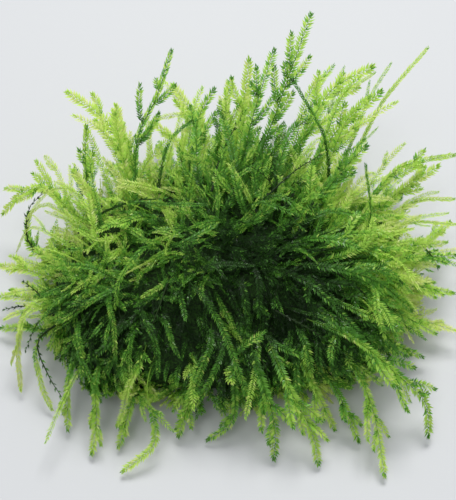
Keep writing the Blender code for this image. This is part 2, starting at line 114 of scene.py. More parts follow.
SHOOTS: dict[str, Shoot] = {
    "back_left_spire": Shoot(
        Finish.GREEN, 3, 0.9, [(-19, 9, 18.5), (-19, 23, 29), (-15, 30, 35), (-12, 38, 40)],
        Habit.ROPE, tone=-0.05,
    ),
    "back_left_fan_1": Shoot(
        Finish.LIME, 3, 1.1, [(-17, 14.5, 17.5), (-23.5, 29, 24), (-28.5, 35, 25), (-34.5, 39.5, 26)]
    ),
    "back_left_fan_2": Shoot(Finish.LIME, 2, 1.0, [(-18, 12, 17), (-22, 22, 25), (-23.5, 29.5, 31)]),
    "back_left_fan_3": Shoot(Finish.LIME, 2, 1.0, [(-4, 23, 15), (-7.5, 36, 20), (-12.5, 43.5, 24)]),
    "back_left_fan_4": Shoot(Finish.LIME, 2, 0.9, [(-9, 24, 13), (-11, 33, 16), (-17, 38, 18)]),
    "back_left_edge": Shoot(
        Finish.GREEN, 2, 1.0, [(-27, 12, 10), (-29.5, 19, 17), (-30, 25.5, 23), (-29.5, 29, 27.5)],
        Habit.ROPE, tone=-0.05,
    ),
    "crown_spire": Shoot(
        Finish.GREEN, 4, 1.0, [(3, 13, 23), (6, 23, 27), (9, 30, 31), (12, 36.5, 36.5), (16, 47, 41)],
        tone=-0.08,
    ),
    "crown_shoot_1": Shoot(
        Finish.GREEN, 2, 0.9, [(0, 12, 20.5), (4, 26, 33), (8.5, 39.5, 38.5)], tone=-0.08
    ),
    "crown_shoot_2": Shoot(Finish.LIME, 2, 1.0, [(-2, 15.5, 19), (2, 30, 31), (3.5, 37.5, 38)]),
    "crown_shoot_3": Shoot(Finish.LIME, 2, 0.9, [(0, 24, 16), (2, 35, 23.5), (4.5, 39.5, 28)]),
    "crown_shoot_4": Shoot(
        Finish.GREEN, 2, 0.9, [(-4.5, 16.5, 18), (-1.5, 31, 29), (0, 37, 33)], tone=-0.1
    ),
    "crown_shoot_5": Shoot(Finish.GREEN, 2, 0.9, [(-9, 17, 21), (-7, 29.5, 28), (-3.5, 35, 32)], tone=-0.1),
    "crown_stem": Shoot(Finish.STEM, 0, 0.4, [(-16, 8.5, 19), (-13, 22, 29), (-8, 27, 31.5)], Habit.SCALY),
    "back_right_fan_1": Shoot(
        Finish.LIME, 3, 1.15, [(8, 17, 16.5), (15.5, 30, 25), (21, 38.5, 28), (29.5, 43, 30)], tone=-0.12
    ),
    "back_right_fan_2": Shoot(
        Finish.LIME, 0, 0.5, [(14, 19, 15), (19, 31, 20), (23, 40, 23.5), (30.5, 45, 26)],
        Habit.ROPE, tone=-0.08,
    ),
    "back_right_fan_3": Shoot(
        Finish.LIME, 2, 1.15, [(12, 12, 17.5), (20, 27, 25.5), (30.5, 36, 30)], tone=-0.12
    ),
    "back_right_runner": Shoot(
        Finish.LIME, 0, 0.6, [(19, 15, 17), (27.5, 30, 23.5), (31, 35.5, 27), (34.5, 39, 30), (41, 46.5, 32)],
        Habit.ROPE, tone=-0.08,
    ),
    "back_right_shoot": Shoot(
        Finish.GREEN, 2, 1.0, [(15, 9, 22), (20.5, 16, 27), (26.5, 21, 31)], tone=-0.06
    ),
    "back_right_stem": Shoot(
        Finish.STEM, 0, 0.4, [(20, 12, 15.5), (19, 22, 28), (17, 26, 32), (12, 34, 36)], Habit.SCALY
    ),
    "right_stem": Shoot(Finish.STEM, 0, 0.4, [(24, 4, 17), (27, 8, 24), (25.5, 14, 34)], Habit.SCALY),
    "right_shoot_1": Shoot(
        Finish.LIME, 2, 0.9, [(22, 10, 16), (29.5, 18, 20), (35, 23, 22), (46.5, 27.5, 20)], Habit.ROPE
    ),
    "right_shoot_2": Shoot(Finish.LIME, 2, 1.0, [(24, 8, 13), (32, 18, 16.5), (43.5, 27, 17)]),
    "right_shoot_3": Shoot(
        Finish.LIME, 0, 0.7, [(27, 8, 9), (33, 15, 12), (38.5, 20.5, 13), (47, 22, 12)], Habit.ROPE
    ),
    "right_shoot_4": Shoot(Finish.LIME, 2, 0.8, [(29, 4, 8), (36, 9, 10), (42, 14, 10), (46.5, 19, 8)]),
    "right_shoot_5": Shoot(Finish.LIME, 0, 0.6, [(27, 6, 14), (35, 13, 15.5), (46.5, 14, 14)], Habit.ROPE),
    "right_shoot_6": Shoot(Finish.GREEN, 3, 0.85, [(26, 2, 14), (34, 5.5, 14), (46.5, 9, 10)]),
    "right_shoot_7": Shoot(Finish.GREEN, 3, 0.85, [(25, 0, 15), (34, 0, 13.5), (45, 0.5, 9)]),
    "right_shoot_8": Shoot(Finish.STRAW, 2, 0.8, [(27, -4, 8), (36, -4, 7), (45.5, -6, 5)]),
    "right_shoot_9": Shoot(Finish.GREEN, 2, 0.82, [(25, -4, 12), (32, -7, 14), (40.5, -9, 9)]),
    "right_shoot_10": Shoot(Finish.GREEN, 1, 0.8, [(25, -8, 5), (32, -9, 5), (38.5, -11, 3)]),
    "right_shoot_11": Shoot(Finish.GREEN, 2, 0.82, [(21, -9, 15), (28, -12.5, 14), (34, -15, 10.5)]),
    "front_right_frond": Shoot(
        Finish.GREEN, 4, 1.0, [(14, -6, 20), (22, -15, 20), (31, -20.5, 14), (37, -23.5, 8), (38, -28, 2.2)]
    ),
    "front_right_1": Shoot(
        Finish.GREEN, 3, 0.82, [(20, -11, 13), (25, -22, 12), (27.5, -28, 7), (29, -36, 1.6)]
    ),
    "front_right_2": Shoot(Finish.GREEN, 2, 0.8, [(15, -14, 12), (21, -23, 8), (24.5, -29, 1.8)]),
    "front_right_3": Shoot(Finish.GREEN, 1, 0.8, [(12, -15, 14), (16.5, -22.5, 9), (20, -26.5, 2)]),
    "front_middle_1": Shoot(
        Finish.GREEN, 4, 0.92, [(5, -8, 15), (10, -22, 14), (15, -29, 7), (16.5, -33.5, 1.6)]
    ),
    "front_middle_2": Shoot(
        Finish.GREEN, 3, 0.92, [(3, -14, 17), (5.5, -22, 14), (8, -28, 8), (8, -32.5, 1.6)]
    ),
    "front_middle_3": Shoot(
        Finish.GREEN, 1, 0.7, [(0, -15, 16), (0.5, -21.5, 12), (0, -26.5, 6), (-5, -28.5, 1.4)]
    ),
    "front_left_1": Shoot(Finish.GREEN, 2, 0.82, [(-7, -14, 15), (-8, -23, 10), (-10.5, -28, 2)]),
    "front_left_hook": Shoot(
        Finish.LIME, 0, 0.82, [(-14, -15, 16), (-16, -23, 14), (-15, -27, 9), (-15, -31, 5), (-21, -35, 1.6)],
        bare=0.45,
    ),
    "front_left_2": Shoot(Finish.GREEN, 2, 0.82, [(-18, -14, 12), (-19.5, -24, 8), (-22, -30, 1.6)]),
    "front_left_3": Shoot(
        Finish.GREEN, 2, 0.82, [(-24, -13, 13), (-26, -21, 12), (-26, -26.5, 7), (-27, -31.5, 1.6)]
    ),
    "front_left_4": Shoot(Finish.GREEN, 1, 0.8, [(-28, -11, 12), (-31.5, -19, 9.5), (-32, -26.5, 2)]),
    "left_fall_1": Shoot(
        Finish.LIME, 0, 0.7, [(-31, -6, 11), (-38, -12, 11), (-37.5, -18, 5.5), (-35.5, -22, 1.6)], bare=0.4
    ),
    "left_fall_2": Shoot(
        Finish.LIME, 1, 0.75, [(-32, -2, 13), (-40, -6, 14), (-42, -12, 9), (-42, -18, 2)]
    ),
    "left_arch": Shoot(
        Finish.LIME, 3, 1.0,
        [(-27, 11, 14), (-33, 15.5, 17), (-38, 20, 18), (-43, 21, 16), (-48.5, 19.5, 10)],
    ),
    "left_shoot_1": Shoot(Finish.LIME, 1, 0.9, [(-25, 11, 18), (-29, 16, 22), (-32, 20.5, 24)]),
    "left_shoot_2": Shoot(Finish.GREEN, 1, 0.9, [(-31, 6, 9), (-39, 10, 9), (-42.5, 13, 9), (-43, 20, 10)]),
    "left_shoot_3": Shoot(Finish.LIME, 2, 1.0, [(-32, 1, 12), (-41, 4, 12), (-48, 8, 8)]),
    "left_shoot_4": Shoot(Finish.LIME, 1, 0.9, [(-32, -1, 7), (-41, 0, 8), (-48, 2, 5.5)]),
    "left_shoot_5": Shoot(Finish.GREEN, 1, 0.9, [(-32, -6, 4), (-41, -5, 4.5), (-47.5, -4, 2.5)]),
    "rear_shoot_1": Shoot(Finish.GREEN, 2, 1.0, [(-20, 20, 9), (-25, 30, 9), (-28, 38, 4)]),
    "rear_shoot_2": Shoot(Finish.GREEN, 2, 1.0, [(-11, 24, 8), (-14, 35, 8), (-17, 44, 3)]),
    "rear_shoot_3": Shoot(Finish.GREEN, 3, 1.0, [(-2, 26, 8), (-3, 38, 8.5), (-2, 48, 3)]),
    "rear_shoot_4": Shoot(Finish.GREEN, 2, 1.0, [(8, 25, 8), (11, 36, 8), (11, 46, 3)]),
    "rear_shoot_5": Shoot(Finish.LIME, 2, 1.0, [(16, 20, 8), (22, 31, 9), (24, 41, 4)]),
    "rear_shoot_6": Shoot(Finish.GREEN, 2, 1.0, [(24, 14, 9), (31, 23, 9), (37, 31, 3)]),
}


class Runner(NamedTuple):
    """A long frond that lies over the mat: its tone, width share, and route in millimetres."""

    tone: float
    width: float
    route: Sequence[tuple[float, float, float]]


RUNNERS: tuple[Runner, ...] = (
    # Over the crown, where the mat's solid has its own long fronds.
    Runner(0.10, 0.60, [(-9, -6, 25.5), (-3, -5, 28), (4, -5, 27.5)]),
    Runner(0.22, 0.75, [(8, -4, 25), (13, -8, 27.5), (18, -12, 26), (24, -17, 22)]),
    Runner(0.42, 0.90, [(12, -3, 25), (20, -5, 26.5), (28, -6, 23), (35, -8, 16)]),
    Runner(0.50, 0.85, [(15, 2, 25), (23, 3, 26.5), (31, 6, 22)]),
    Runner(0.32, 0.80, [(2, 9, 27), (6, 7, 31), (12, 5, 30)]),
    Runner(0.46, 0.70, [(-14, 1, 25), (-17, -2, 28.5), (-21, -7, 26), (-22, -11, 22)]),
    Runner(0.36, 0.62, [(-13, 0, 26), (-9, -1, 29.5), (-3, 3, 29.5)]),
    Runner(0.46, 0.68, [(-22, -5, 23), (-27, -4, 25.5), (-32, -2, 23), (-37, 0, 19)]),
    Runner(0.42, 0.75, [(-8, -7, 25), (-5, -11, 25), (-2, -15, 22), (1, -21, 17), (3, -25, 12)]),
    Runner(0.40, 1.00, [(-6, 12, 26), (-7, 19, 29.5), (-7, 26, 31.5)]),
    Runner(0.36, 0.95, [(1, 13, 27), (0, 20, 31), (-2, 27, 33)]),
    Runner(0.38, 0.95, [(8, 13, 26), (10, 20, 30), (13, 26, 32)]),
    # Over the flanks and the front.
    Runner(0.34, 0.55, [(-18, -9, 22), (-16, -14, 22), (-14, -18, 19), (-14, -22, 15)]),
    Runner(0.30, 0.45, [(10, -10, 21), (14, -12, 22), (17, -13, 22), (21, -15, 20)]),
    Runner(0.46, 0.66, [(-19, -6, 23), (-24, -9, 24), (-28, -10, 21), (-33, -11, 17)]),
    Runner(0.50, 0.66, [(-23, -7, 22), (-23, -11, 24), (-22, -15, 22), (-22, -19, 17)]),
    Runner(0.50, 0.75, [(-4, -12, 18), (-4, -17, 19), (-6, -21, 15), (-8, -24, 9), (-11, -27, 3)]),
    Runner(0.46, 0.75, [(-1, -15, 18), (-3, -21, 17), (-6, -24, 11), (-10, -26, 5)]),
    Runner(0.46, 0.62, [(-18, -13, 20), (-19, -18, 20), (-19, -22, 15)]),
    Runner(0.38, 0.62, [(-14, -12, 21), (-12, -15, 22), (-11, -18, 19)]),
    Runner(0.46, 0.62, [(-29, -11, 18), (-29, -15, 19), (-28, -18, 16)]),
    Runner(0.42, 0.66, [(-27, -12, 17), (-29, -17, 17), (-27, -21, 14), (-25, -24, 9)]),
    Runner(0.30, 0.60, [(-26, 11, 22), (-20, 10, 27), (-14, 9, 28), (-5, 8, 29)]),
    Runner(0.36, 0.80, [(6, -14, 18), (9, -17, 18), (14, -18, 16)]),
    Runner(0.46, 0.80, [(12, -13, 19), (14, -17, 18), (15, -21, 14)]),
    Runner(0.48, 0.70, [(0, -19, 18), (3, -17.5, 20.5), (6, -15.5, 21)]),
    Runner(0.38, 0.80, [(5, 10, 28), (10, 9, 30), (14, 6, 27)]),
    Runner(0.14, 0.70, [(0, -6, 25), (2, -9, 26), (3, -14, 22)]),
    Runner(0.14, 0.70, [(4, -4, 26), (5, -8, 26), (5, -13, 22)]),
    Runner(0.62, 0.80, [(14, -12, 20), (22, -16, 20), (30, -20, 15), (34, -24, 9)]),
    Runner(0.46, 0.80, [(12, 5, 26), (19, 8, 27), (26, 9, 24), (34, 13, 18)]),
    # Behind the crown, on the right, in the fan of long fronds.
    Runner(0.54, 0.95, [(12, 15, 21), (17, 22, 25), (19.5, 27, 29), (22, 32.5, 32), (26, 36.5, 34)]),
    Runner(0.58, 0.95, [(14, 15, 20), (19, 21.5, 23), (21.5, 26, 27), (24, 30, 30), (28, 33, 32)]),
    # At the back left, where young fronds stand close together.
    Runner(0.74, 0.90, [(-17, 14, 18), (-20.5, 24, 23), (-23, 31, 25.5), (-24, 35, 27)]),
    Runner(0.78, 0.75, [(-14, 14, 20), (-13.5, 21, 23), (-11, 30, 26), (-10, 37, 26), (-12.5, 41, 26)]),
    Runner(0.76, 0.80, [(-8, 16, 20), (-5.5, 27, 25), (-8, 32.5, 26), (-13, 32.5, 26.5), (-17, 32, 25)]),
    Runner(0.70, 0.90, [(-20, 12, 19), (-22.5, 22, 22), (-25.5, 28, 24), (-28, 32, 26)]),
    Runner(0.76, 0.85, [(-16, 16, 19), (-17, 24, 22), (-17, 29, 23.5), (-18, 34, 25)]),
    Runner(0.64, 0.85, [(-22, 13, 17), (-26, 22, 20), (-28.5, 28, 22.5), (-30.5, 32, 24)]),
    Runner(0.74, 0.80, [(-12, 16, 20), (-11, 23, 22), (-9.5, 28, 24.5), (-9, 33, 27)]),
    Runner(0.78, 0.85, [(-19, 14, 19), (-20, 20, 22), (-22.5, 27, 24.5), (-22, 31, 26)]),
    # Along the left edge, a rope of close leaves that stands up out of the mat.
    Runner(0.50, 0.70, [(-25.5, 6, 20), (-26, 9, 22), (-27, 13.5, 24), (-28, 18, 25.5), (-29, 24, 27)]),
    # At the left, where thin ones arch over.
    Runner(0.78, 0.55, [(-26, 8, 20), (-30, 14, 23), (-34, 17.5, 22), (-38, 17, 20), (-42, 14, 16)]),
    Runner(0.80, 0.55, [(-26, 5, 21), (-32, 10, 22), (-37, 14, 21), (-41, 14.5, 17), (-42.5, 12, 12)]),
    Runner(0.74, 0.60, [(-28, 8, 18), (-30, 12, 21), (-32, 16, 23), (-36, 19, 22)]),
    Runner(0.76, 0.50, [(-30, 4, 18), (-36, 8, 19), (-41, 11, 17), (-44, 8.5, 12)]),
    Runner(0.60, 0.60, [(-24, 9, 20), (-29, 10, 21), (-32, 13, 20), (-34, 18, 21)]),
)


class Lay(NamedTuple):
    """How the fronds lie at one place of the mat."""

    place: tuple[float, float, float]  # millimetres
    bearing: float  # degrees from +X, seen from above
    lift: float  # degrees at which they rise from the mat
    length: float  # against the usual
    stray: float  # radians off the bearing
    # tone: the fronds' colour; near black where it also paints the shade of a hollow
    tone: float
    crowd: float  # share of them that grow


# The lowest tones, near black, in the hollows and the dark middle of the crown, are deep green with painted
# shade.
LAYS: tuple[Lay, ...] = (
    # The right side, where long fronds flow outwards side by side.
    Lay((23, -1, 23), 4, 18, 1.3, 0.18, 0.5, 1.0),
    Lay((28, 6, 19), 18, 20, 1.2, 0.20, 0.7, 0.7),
    Lay((28, -8, 19), -18, 18, 1.2, 0.18, 0.48, 0.85),
    Lay((18, -9, 22), -38, 16, 1.3, 0.20, 0.06, 0.6),
    Lay((23, -15, 16), -46, 16, 1.0, 0.18, 0.22, 1.0),
    Lay((13, -14, 19), -55, 16, 1.1, 0.25, 0.24, 0.5),
    Lay((34, -2, 14), 0, 16, 1.0, 0.22, 1.0, 0.65),
    Lay((33, -12, 10), -28, 10, 0.5, 0.25, 0.84, 0.1),
    Lay((11, -11, 22), -50, 8, 0.7, 0.30, 0.02, 0.12),
    Lay((19, -20, 12), -60, 8, 0.8, 0.30, 0.22, 0.4),
    # The front, over which they hang.
    Lay((3, -22, 14), -80, 14, 1.0, 0.25, 0.16, 0.6),
    Lay((1, -14, 19), -80, 8, 0.7, 0.30, 0.38, 0.5),
    Lay((1, -26, 9), -85, 10, 0.9, 0.25, 0.8, 0.5),
    Lay((-6, -22, 13), -95, 12, 0.9, 0.25, 0.1, 0.35),
    Lay((-9, -15, 19), -90, 10, 0.8, 0.30, 0.0, 0.04),
    Lay((-10, -19, 15), -92, 10, 0.8, 0.30, 0.0, 0.04),
    Lay((-15, -21, 12), -95, 12, 0.9, 0.30, 0.95, 0.6),
    Lay((-24, -18, 11), -98, 12, 0.9, 0.30, 0.34, 0.7),
    Lay((-18, -13, 19), -88, 16, 1.0, 0.50, 0.14, 0.7),
    Lay((-29, -12, 15), -105, 16, 0.9, 0.50, 0.12, 0.8),
    Lay((20, -22, 6), -70, 10, 0.9, 0.20, 0.96, 0.8),
    # The left side, airy and tangled.
    Lay((-34, -10, 10), -130, 12, 0.9, 0.40, 0.54, 0.6),
    Lay((-33, -5, 17), -165, 24, 0.7, 1.0, 0.38, 0.8),
    Lay((-25, 0, 22), 175, 24, 0.7, 1.1, 0.7, 0.9),
    Lay((-37, 6, 13), 160, 24, 0.8, 0.50, 0.7, 0.4),
    Lay((-30, 10, 18), 135, 20, 0.7, 0.70, 0.84, 0.2),
    # The crown, where short old fronds lie over each other in all directions.
    Lay((-18, -5, 24), -150, 20, 0.65, 1.0, 0.44, 1.0),
    Lay((-10, -2, 27), -120, 20, 0.6, 1.4, 0.4, 1.0),
    Lay((-17, 5, 25), 150, 26, 0.65, 1.4, 0.46, 1.0),
    Lay((3, 0, 27), 0, 14, 0.6, 1.2, 0.0, 0.8),
    Lay((5, -7, 24), -85, 10, 0.6, 0.40, 0.0, 0.4),
    Lay((-3, 7, 27), 120, 26, 0.65, 1.2, 0.4, 1.0),
    Lay((12, 7, 27), 30, 24, 0.75, 0.8, 0.34, 1.0),
    Lay((14, -2, 26), -10, 18, 1.0, 0.45, 0.2, 1.0),
    # The back, where they stand up, and its foot.
    Lay((4, 15, 25), 88, 46, 0.9, 0.35, 0.34, 0.8),
    Lay((-7, 14, 25), 100, 44, 0.9, 0.50, 0.4, 0.7),
    Lay((-16, 14, 22), 112, 36, 0.9, 0.45, 0.84, 0.35),
    Lay((-12, 21, 19), 108, 32, 0.8, 0.5, 0.86, 0.3),
    Lay((-24, 12, 18), 118, 26, 0.7, 0.45, 0.84, 0.2),
    Lay((15, 15, 22), 62, 42, 0.9, 0.45, 0.68, 0.45),
    Lay((23, 11, 18), 42, 30, 0.85, 0.35, 0.76, 0.4),
    Lay((31, 10, 13), 25, 24, 1.1, 0.30, 0.84, 0.25),
    Lay((0, 28, 9), 90, 16, 1.0, 0.30, 0.66, 0.9),
    Lay((-20, 24, 9), 125, 16, 0.8, 0.30, 0.66, 0.6),
    Lay((20, 22, 9), 50, 16, 0.8, 0.30, 0.64, 0.5),
)


def unit(vectors: Array) -> Array:
    """The vectors, made one long.

    Args:
        vectors: An array whose last axis is x, y, z.

    Returns:
        An array of the same shape.
    """
    return vectors / np.maximum(np.linalg.norm(vectors, axis=-1, keepdims=True), 1e-12)


def eased(values: Array) -> Array:
    """Values limited to 0..1, with a smooth start and end."""
    limited = np.clip(values, 0, 1)
    return limited * limited * (3 - 2 * limited)


def backness(points: Array) -> Array:
    """How far points lie towards the back, from 0 at the crown to 1 at the clump's rear."""
    return eased((points[..., 1] / MM - BACK_START) / SLOPE_DEPTH)


def frontness(points: Array) -> Array:
    """How far points lie towards the front, from 0 at the crown to 1 at the front slope's foot."""
    return eased((-points[..., 1] / MM - FRONT_START) / SLOPE_DEPTH)


def shared_out(counts: Array) -> tuple[Array, Array]:
    """Items of which each owner has some, one owner's after another's.

    Args:
        counts: How many each owner has.

    Returns:
        Each item's owner, and its number among that owner's.
    """
    owners = np.repeat(np.arange(len(counts)), counts)
    firsts = np.repeat(np.cumsum(counts) - counts, counts)
    return owners, np.arange(len(owners)) - firsts


def link(obj: bpy.types.Object) -> bpy.types.Object:
    """Puts the object in the scene and returns it."""
    bpy.context.scene.collection.objects.link(obj)
    return obj


@dataclass(frozen=True)
class Lobe:
    """A swelling, or a hollow where swell is negative, of the mound."""

    bearing: float  # degrees from +X
    rise: float  # degrees above the horizon
    swell: float
    spread: float  # degrees

    def direction(self) -> Array:
        """The direction of its middle.

        Returns:
            A unit vector from the mound's centre.
        """
        bearing, rise = math.radians(self.bearing), math.radians(self.rise)
        flat = math.cos(rise)
        return np.array([flat * math.cos(bearing), flat * math.sin(bearing), math.sin(rise)])


@dataclass(frozen=True)
class Mound:
    """The mat's bare surface: half an egg with swellings and hollows, cut flat where it rests."""

    centre: Array = field(default_factory=lambda: np.array([0, 4, 6]) * MM)
    half_size: Array = field(default_factory=lambda: np.array([35, 26, 20]) * MM)
    probe: float = 0.2 * MM  # step with which slopes are measured
    lobes: tuple[Lobe, ...] = (
        Lobe(130, 24, 1.5 * MM, 22),
        Lobe(92, 30, 2.0 * MM, 22),
        Lobe(55, 22, 0.5 * MM, 22),
        Lobe(2, 12, 1.5 * MM, 26),
        Lobe(-38, 14, 3.5 * MM, 20),
        Lobe(-88, 4, 2.0 * MM, 18),
        Lobe(-104, 38, -4.5 * MM, 18),
        Lobe(-62, 30, -4.0 * MM, 15),
        Lobe(-140, 6, 6.0 * MM, 24),
        Lobe(174, 10, 3.5 * MM, 22),
        Lobe(-68, -16, -4.5 * MM, 17),
        Lobe(-100, -16, -4.5 * MM, 17),
        Lobe(-128, -16, -3.0 * MM, 16),
    )

    def radius(self, directions: Array) -> Array:
        """How far the surface lies from the centre.

        Args:
            directions: Unit vectors, shape (..., 3).

        Returns:
            Distances, shape (...).
        """
        radius = 1 / np.linalg.norm(directions / self.half_size, axis=-1)
        for lobe in self.lobes:
            off_axis = 1 - directions @ lobe.direction()
            radius = radius + lobe.swell * np.exp(-off_axis / (1 - math.cos(math.radians(lobe.spread))))
        return radius

    def height(self, points: Array) -> Array:
        """How high points stand over the surface, along the line from the centre.

        Args:
            points: Points, shape (..., 3).

        Returns:
            Heights, shape (...), negative under the surface.
        """
        arms = points - self.centre
        return np.linalg.norm(arms, axis=-1) - self.radius(unit(arms))

    def normals(self, points: Array) -> Array:
        """The outward normals of the surface near points.

        Args:
            points: Points, shape (..., 3).

        Returns:
            Unit vectors of the same shape.
        """
        here = self.height(points)
        slopes = [self.height(points + self.probe * axis) - here for axis in np.eye(3)]
        return unit(np.stack(slopes, axis=-1))

    def at(self, directions: Array, depth: Array | float) -> Array:
        """Points at a depth under the surface.

        Args:
            directions: Unit vectors from the centre, shape (n, 3).
            depth: How deep each point lies.

        Returns:
            Points, shape (n, 3).
        """
        return self.centre + directions * (self.radius(directions) - depth)[:, None]


@dataclass
class Fronds:
    """The centre lines of many fronds, with how each of them is leafed."""

    lines: Array  # (fronds, stations, 3)
    facing: Array  # (fronds, 3): what the flat side looks at
    size: Array  # leaf length against a full leaf
    tone: Array  # from 0, deep green, by green and lime to 1, cream
    bare: Array  # share of the length, from the foot, that has no leaves
    bud: Array  # how far the tip's tone differs

    def __len__(self) -> int:
        """The number of fronds."""
        return len(self.lines)

    def lengths(self) -> Array:
        """The length of each frond."""
        return np.linalg.norm(np.diff(self.lines, axis=1), axis=2).sum(axis=1)

    def leafy_lengths(self) -> Array:
        """The length of each frond's part that has leaves."""
        return self.lengths() * (1 - self.bare)

    def tangents(self) -> Array:
        """The unit tangent at each station."""
        return unit(np.gradient(self.lines, axis=1))

    def at(self, owners: Array, places: Array) -> tuple[Array, Array]:
        """Points and tangents part of the way along fronds.

        Args:
            owners: Which frond, for each point.
            places: How far along it, from 0 to 1.

        Returns:
            The points and the unit tangents, each of shape (n, 3).
        """
        along = np.clip(places, 0, 1) * (self.lines.shape[1] - 1)
        first = np.minimum(along.astype(int), self.lines.shape[1] - 2)
        part = (along - first)[:, None]
        points = self.lines[owners, first] * (1 - part) + self.lines[owners, first + 1] * part
        tangents = self.tangents()
        return points, unit(tangents[owners, first] * (1 - part) + tangents[owners, first + 1] * part)

    def picked(self, chosen: Array) -> Fronds:
        """Some of the fronds, by a mask."""
        return Fronds(*(getattr(self, part.name)[chosen] for part in fields(self)))

    @staticmethod
    def joined(sets: Sequence[Fronds]) -> Fronds:
        """Several sets of fronds with equal numbers of stations, as one."""
        columns = ([getattr(one, part.name) for one in sets] for part in fields(Fronds))
        return Fronds(*(np.concatenate(column) for column in columns))


def even_points(route: Array, count: int, start: float = 0.0) -> Array:
    """Points at even distances along the smooth curve through a route.

    Args:
        route: The points that the curve goes through, shape (n, 3).
        count: How many points to return.
        start: Where to begin, as a share of its length.

    Returns:
        Points, shape (count, 3).
    """
    ends = np.vstack([2 * route[0] - route[1], route, 2 * route[-1] - route[-2]])
    along = np.linspace(0, 1, FINE_STEPS) * (len(route) - 1)
    first = np.minimum(along.astype(int), len(route) - 2)
    t = (along - first)[:, None]
    a, b, c, d = (ends[first + i] for i in range(4))
    fine = (2 * b + (c - a) * t + (2 * a - 5 * b + 4 * c - d) * t**2 + (3 * b - a - 3 * c + d) * t**3) / 2
    reach = np.concatenate([[0], np.cumsum(np.linalg.norm(np.diff(fine, axis=0), axis=1))])
    wanted = np.linspace(start, 1, count) * reach[-1]
    return np.stack([np.interp(wanted, reach, fine[:, axis]) for axis in range(3)], axis=1)


class Cut(Enum):
    """How finely a leaf is modelled."""

    FOLDED = "folded and bent, four faces"
    KITE = "two faces, one on each side of its middle"


@dataclass
class Foliage:
    """The faces of leaves and stems, gathered for one piece."""

    points: list[Array] = field(default_factory=list)
    faces: list[Array] = field(default_factory=list)
    spots: list[Array] = field(default_factory=list)
    finishes: list[Array] = field(default_factory=list)
    held: int = 0

    def add(self, points: Array, faces: Array, spots: Array, finishes: Array) -> None:
        """Adds faces.

        Args:
            points: Their corners, shape (n, 3).
            faces: Triangles, as numbers of corners, shape (m, 3).
            spots: Each corner's place on the colour map, shape (n, 2).
            finishes: Each face's finish, as its number in LEAF_ORDER.
        """
        self.points.append(points)
        self.faces.append(faces + self.held)
        self.spots.append(spots)
        self.finishes.append(finishes)
        self.held += len(points)

    def make(self, name: str, wardrobe: Wardrobe) -> bpy.types.Object:
        """Makes one object of all the faces.

        Args:
            name: The object's name.
            wardrobe: The material of each finish.

        Returns:
            The object, linked to the scene.
        """
        points, faces = np.concatenate(self.points), np.concatenate(self.faces)
        spots, finishes = np.concatenate(self.spots), np.concatenate(self.finishes)
        used = np.unique(finishes)
        mesh = bpy.data.meshes.new(name)
        mesh.vertices.add(len(points))
        mesh.vertices.foreach_set("co", points.astype(np.float32).ravel())
        mesh.loops.add(faces.size)
        mesh.loops.foreach_set("vertex_index", faces.astype(np.int32).ravel())
        mesh.polygons.add(len(faces))
        mesh.polygons.foreach_set("loop_start", np.arange(0, faces.size, 3, dtype=np.int32))
        mesh.polygons.foreach_set("material_index", np.searchsorted(used, finishes).astype(np.int32))
        colour_map = mesh.uv_layers.new(name=BAKE_MAP)
        colour_map.data.foreach_set("uv", spots[faces.ravel()].astype(np.float32).ravel())
        for number in used:
            mesh.materials.append(wardrobe[LEAF_ORDER[number]])
        mesh.update(calc_edges=True)
        return link(bpy.data.objects.new(name, mesh))


# The finishes that leaves and stems may have, in the order of their numbers.
LEAF_ORDER = (Finish.MAT, Finish.GREEN, Finish.LIME, Finish.STRAW, Finish.STEM)
# Tones at which the leaves pass to the next of these finishes.
TONE_STEPS = (0.25, 0.55, 0.86)


class LeafRow(NamedTuple):
    """One row of leaves along a stem."""

    azimuth: float  # degrees round the stem, from its right side
    spread: float  # degrees that the azimuth varies by
    share: float  # leaves against a side row's
    lean: float  # angle to the stem against a side row's
    length: float
    phase: float  # of the pitch, where its leaves stand


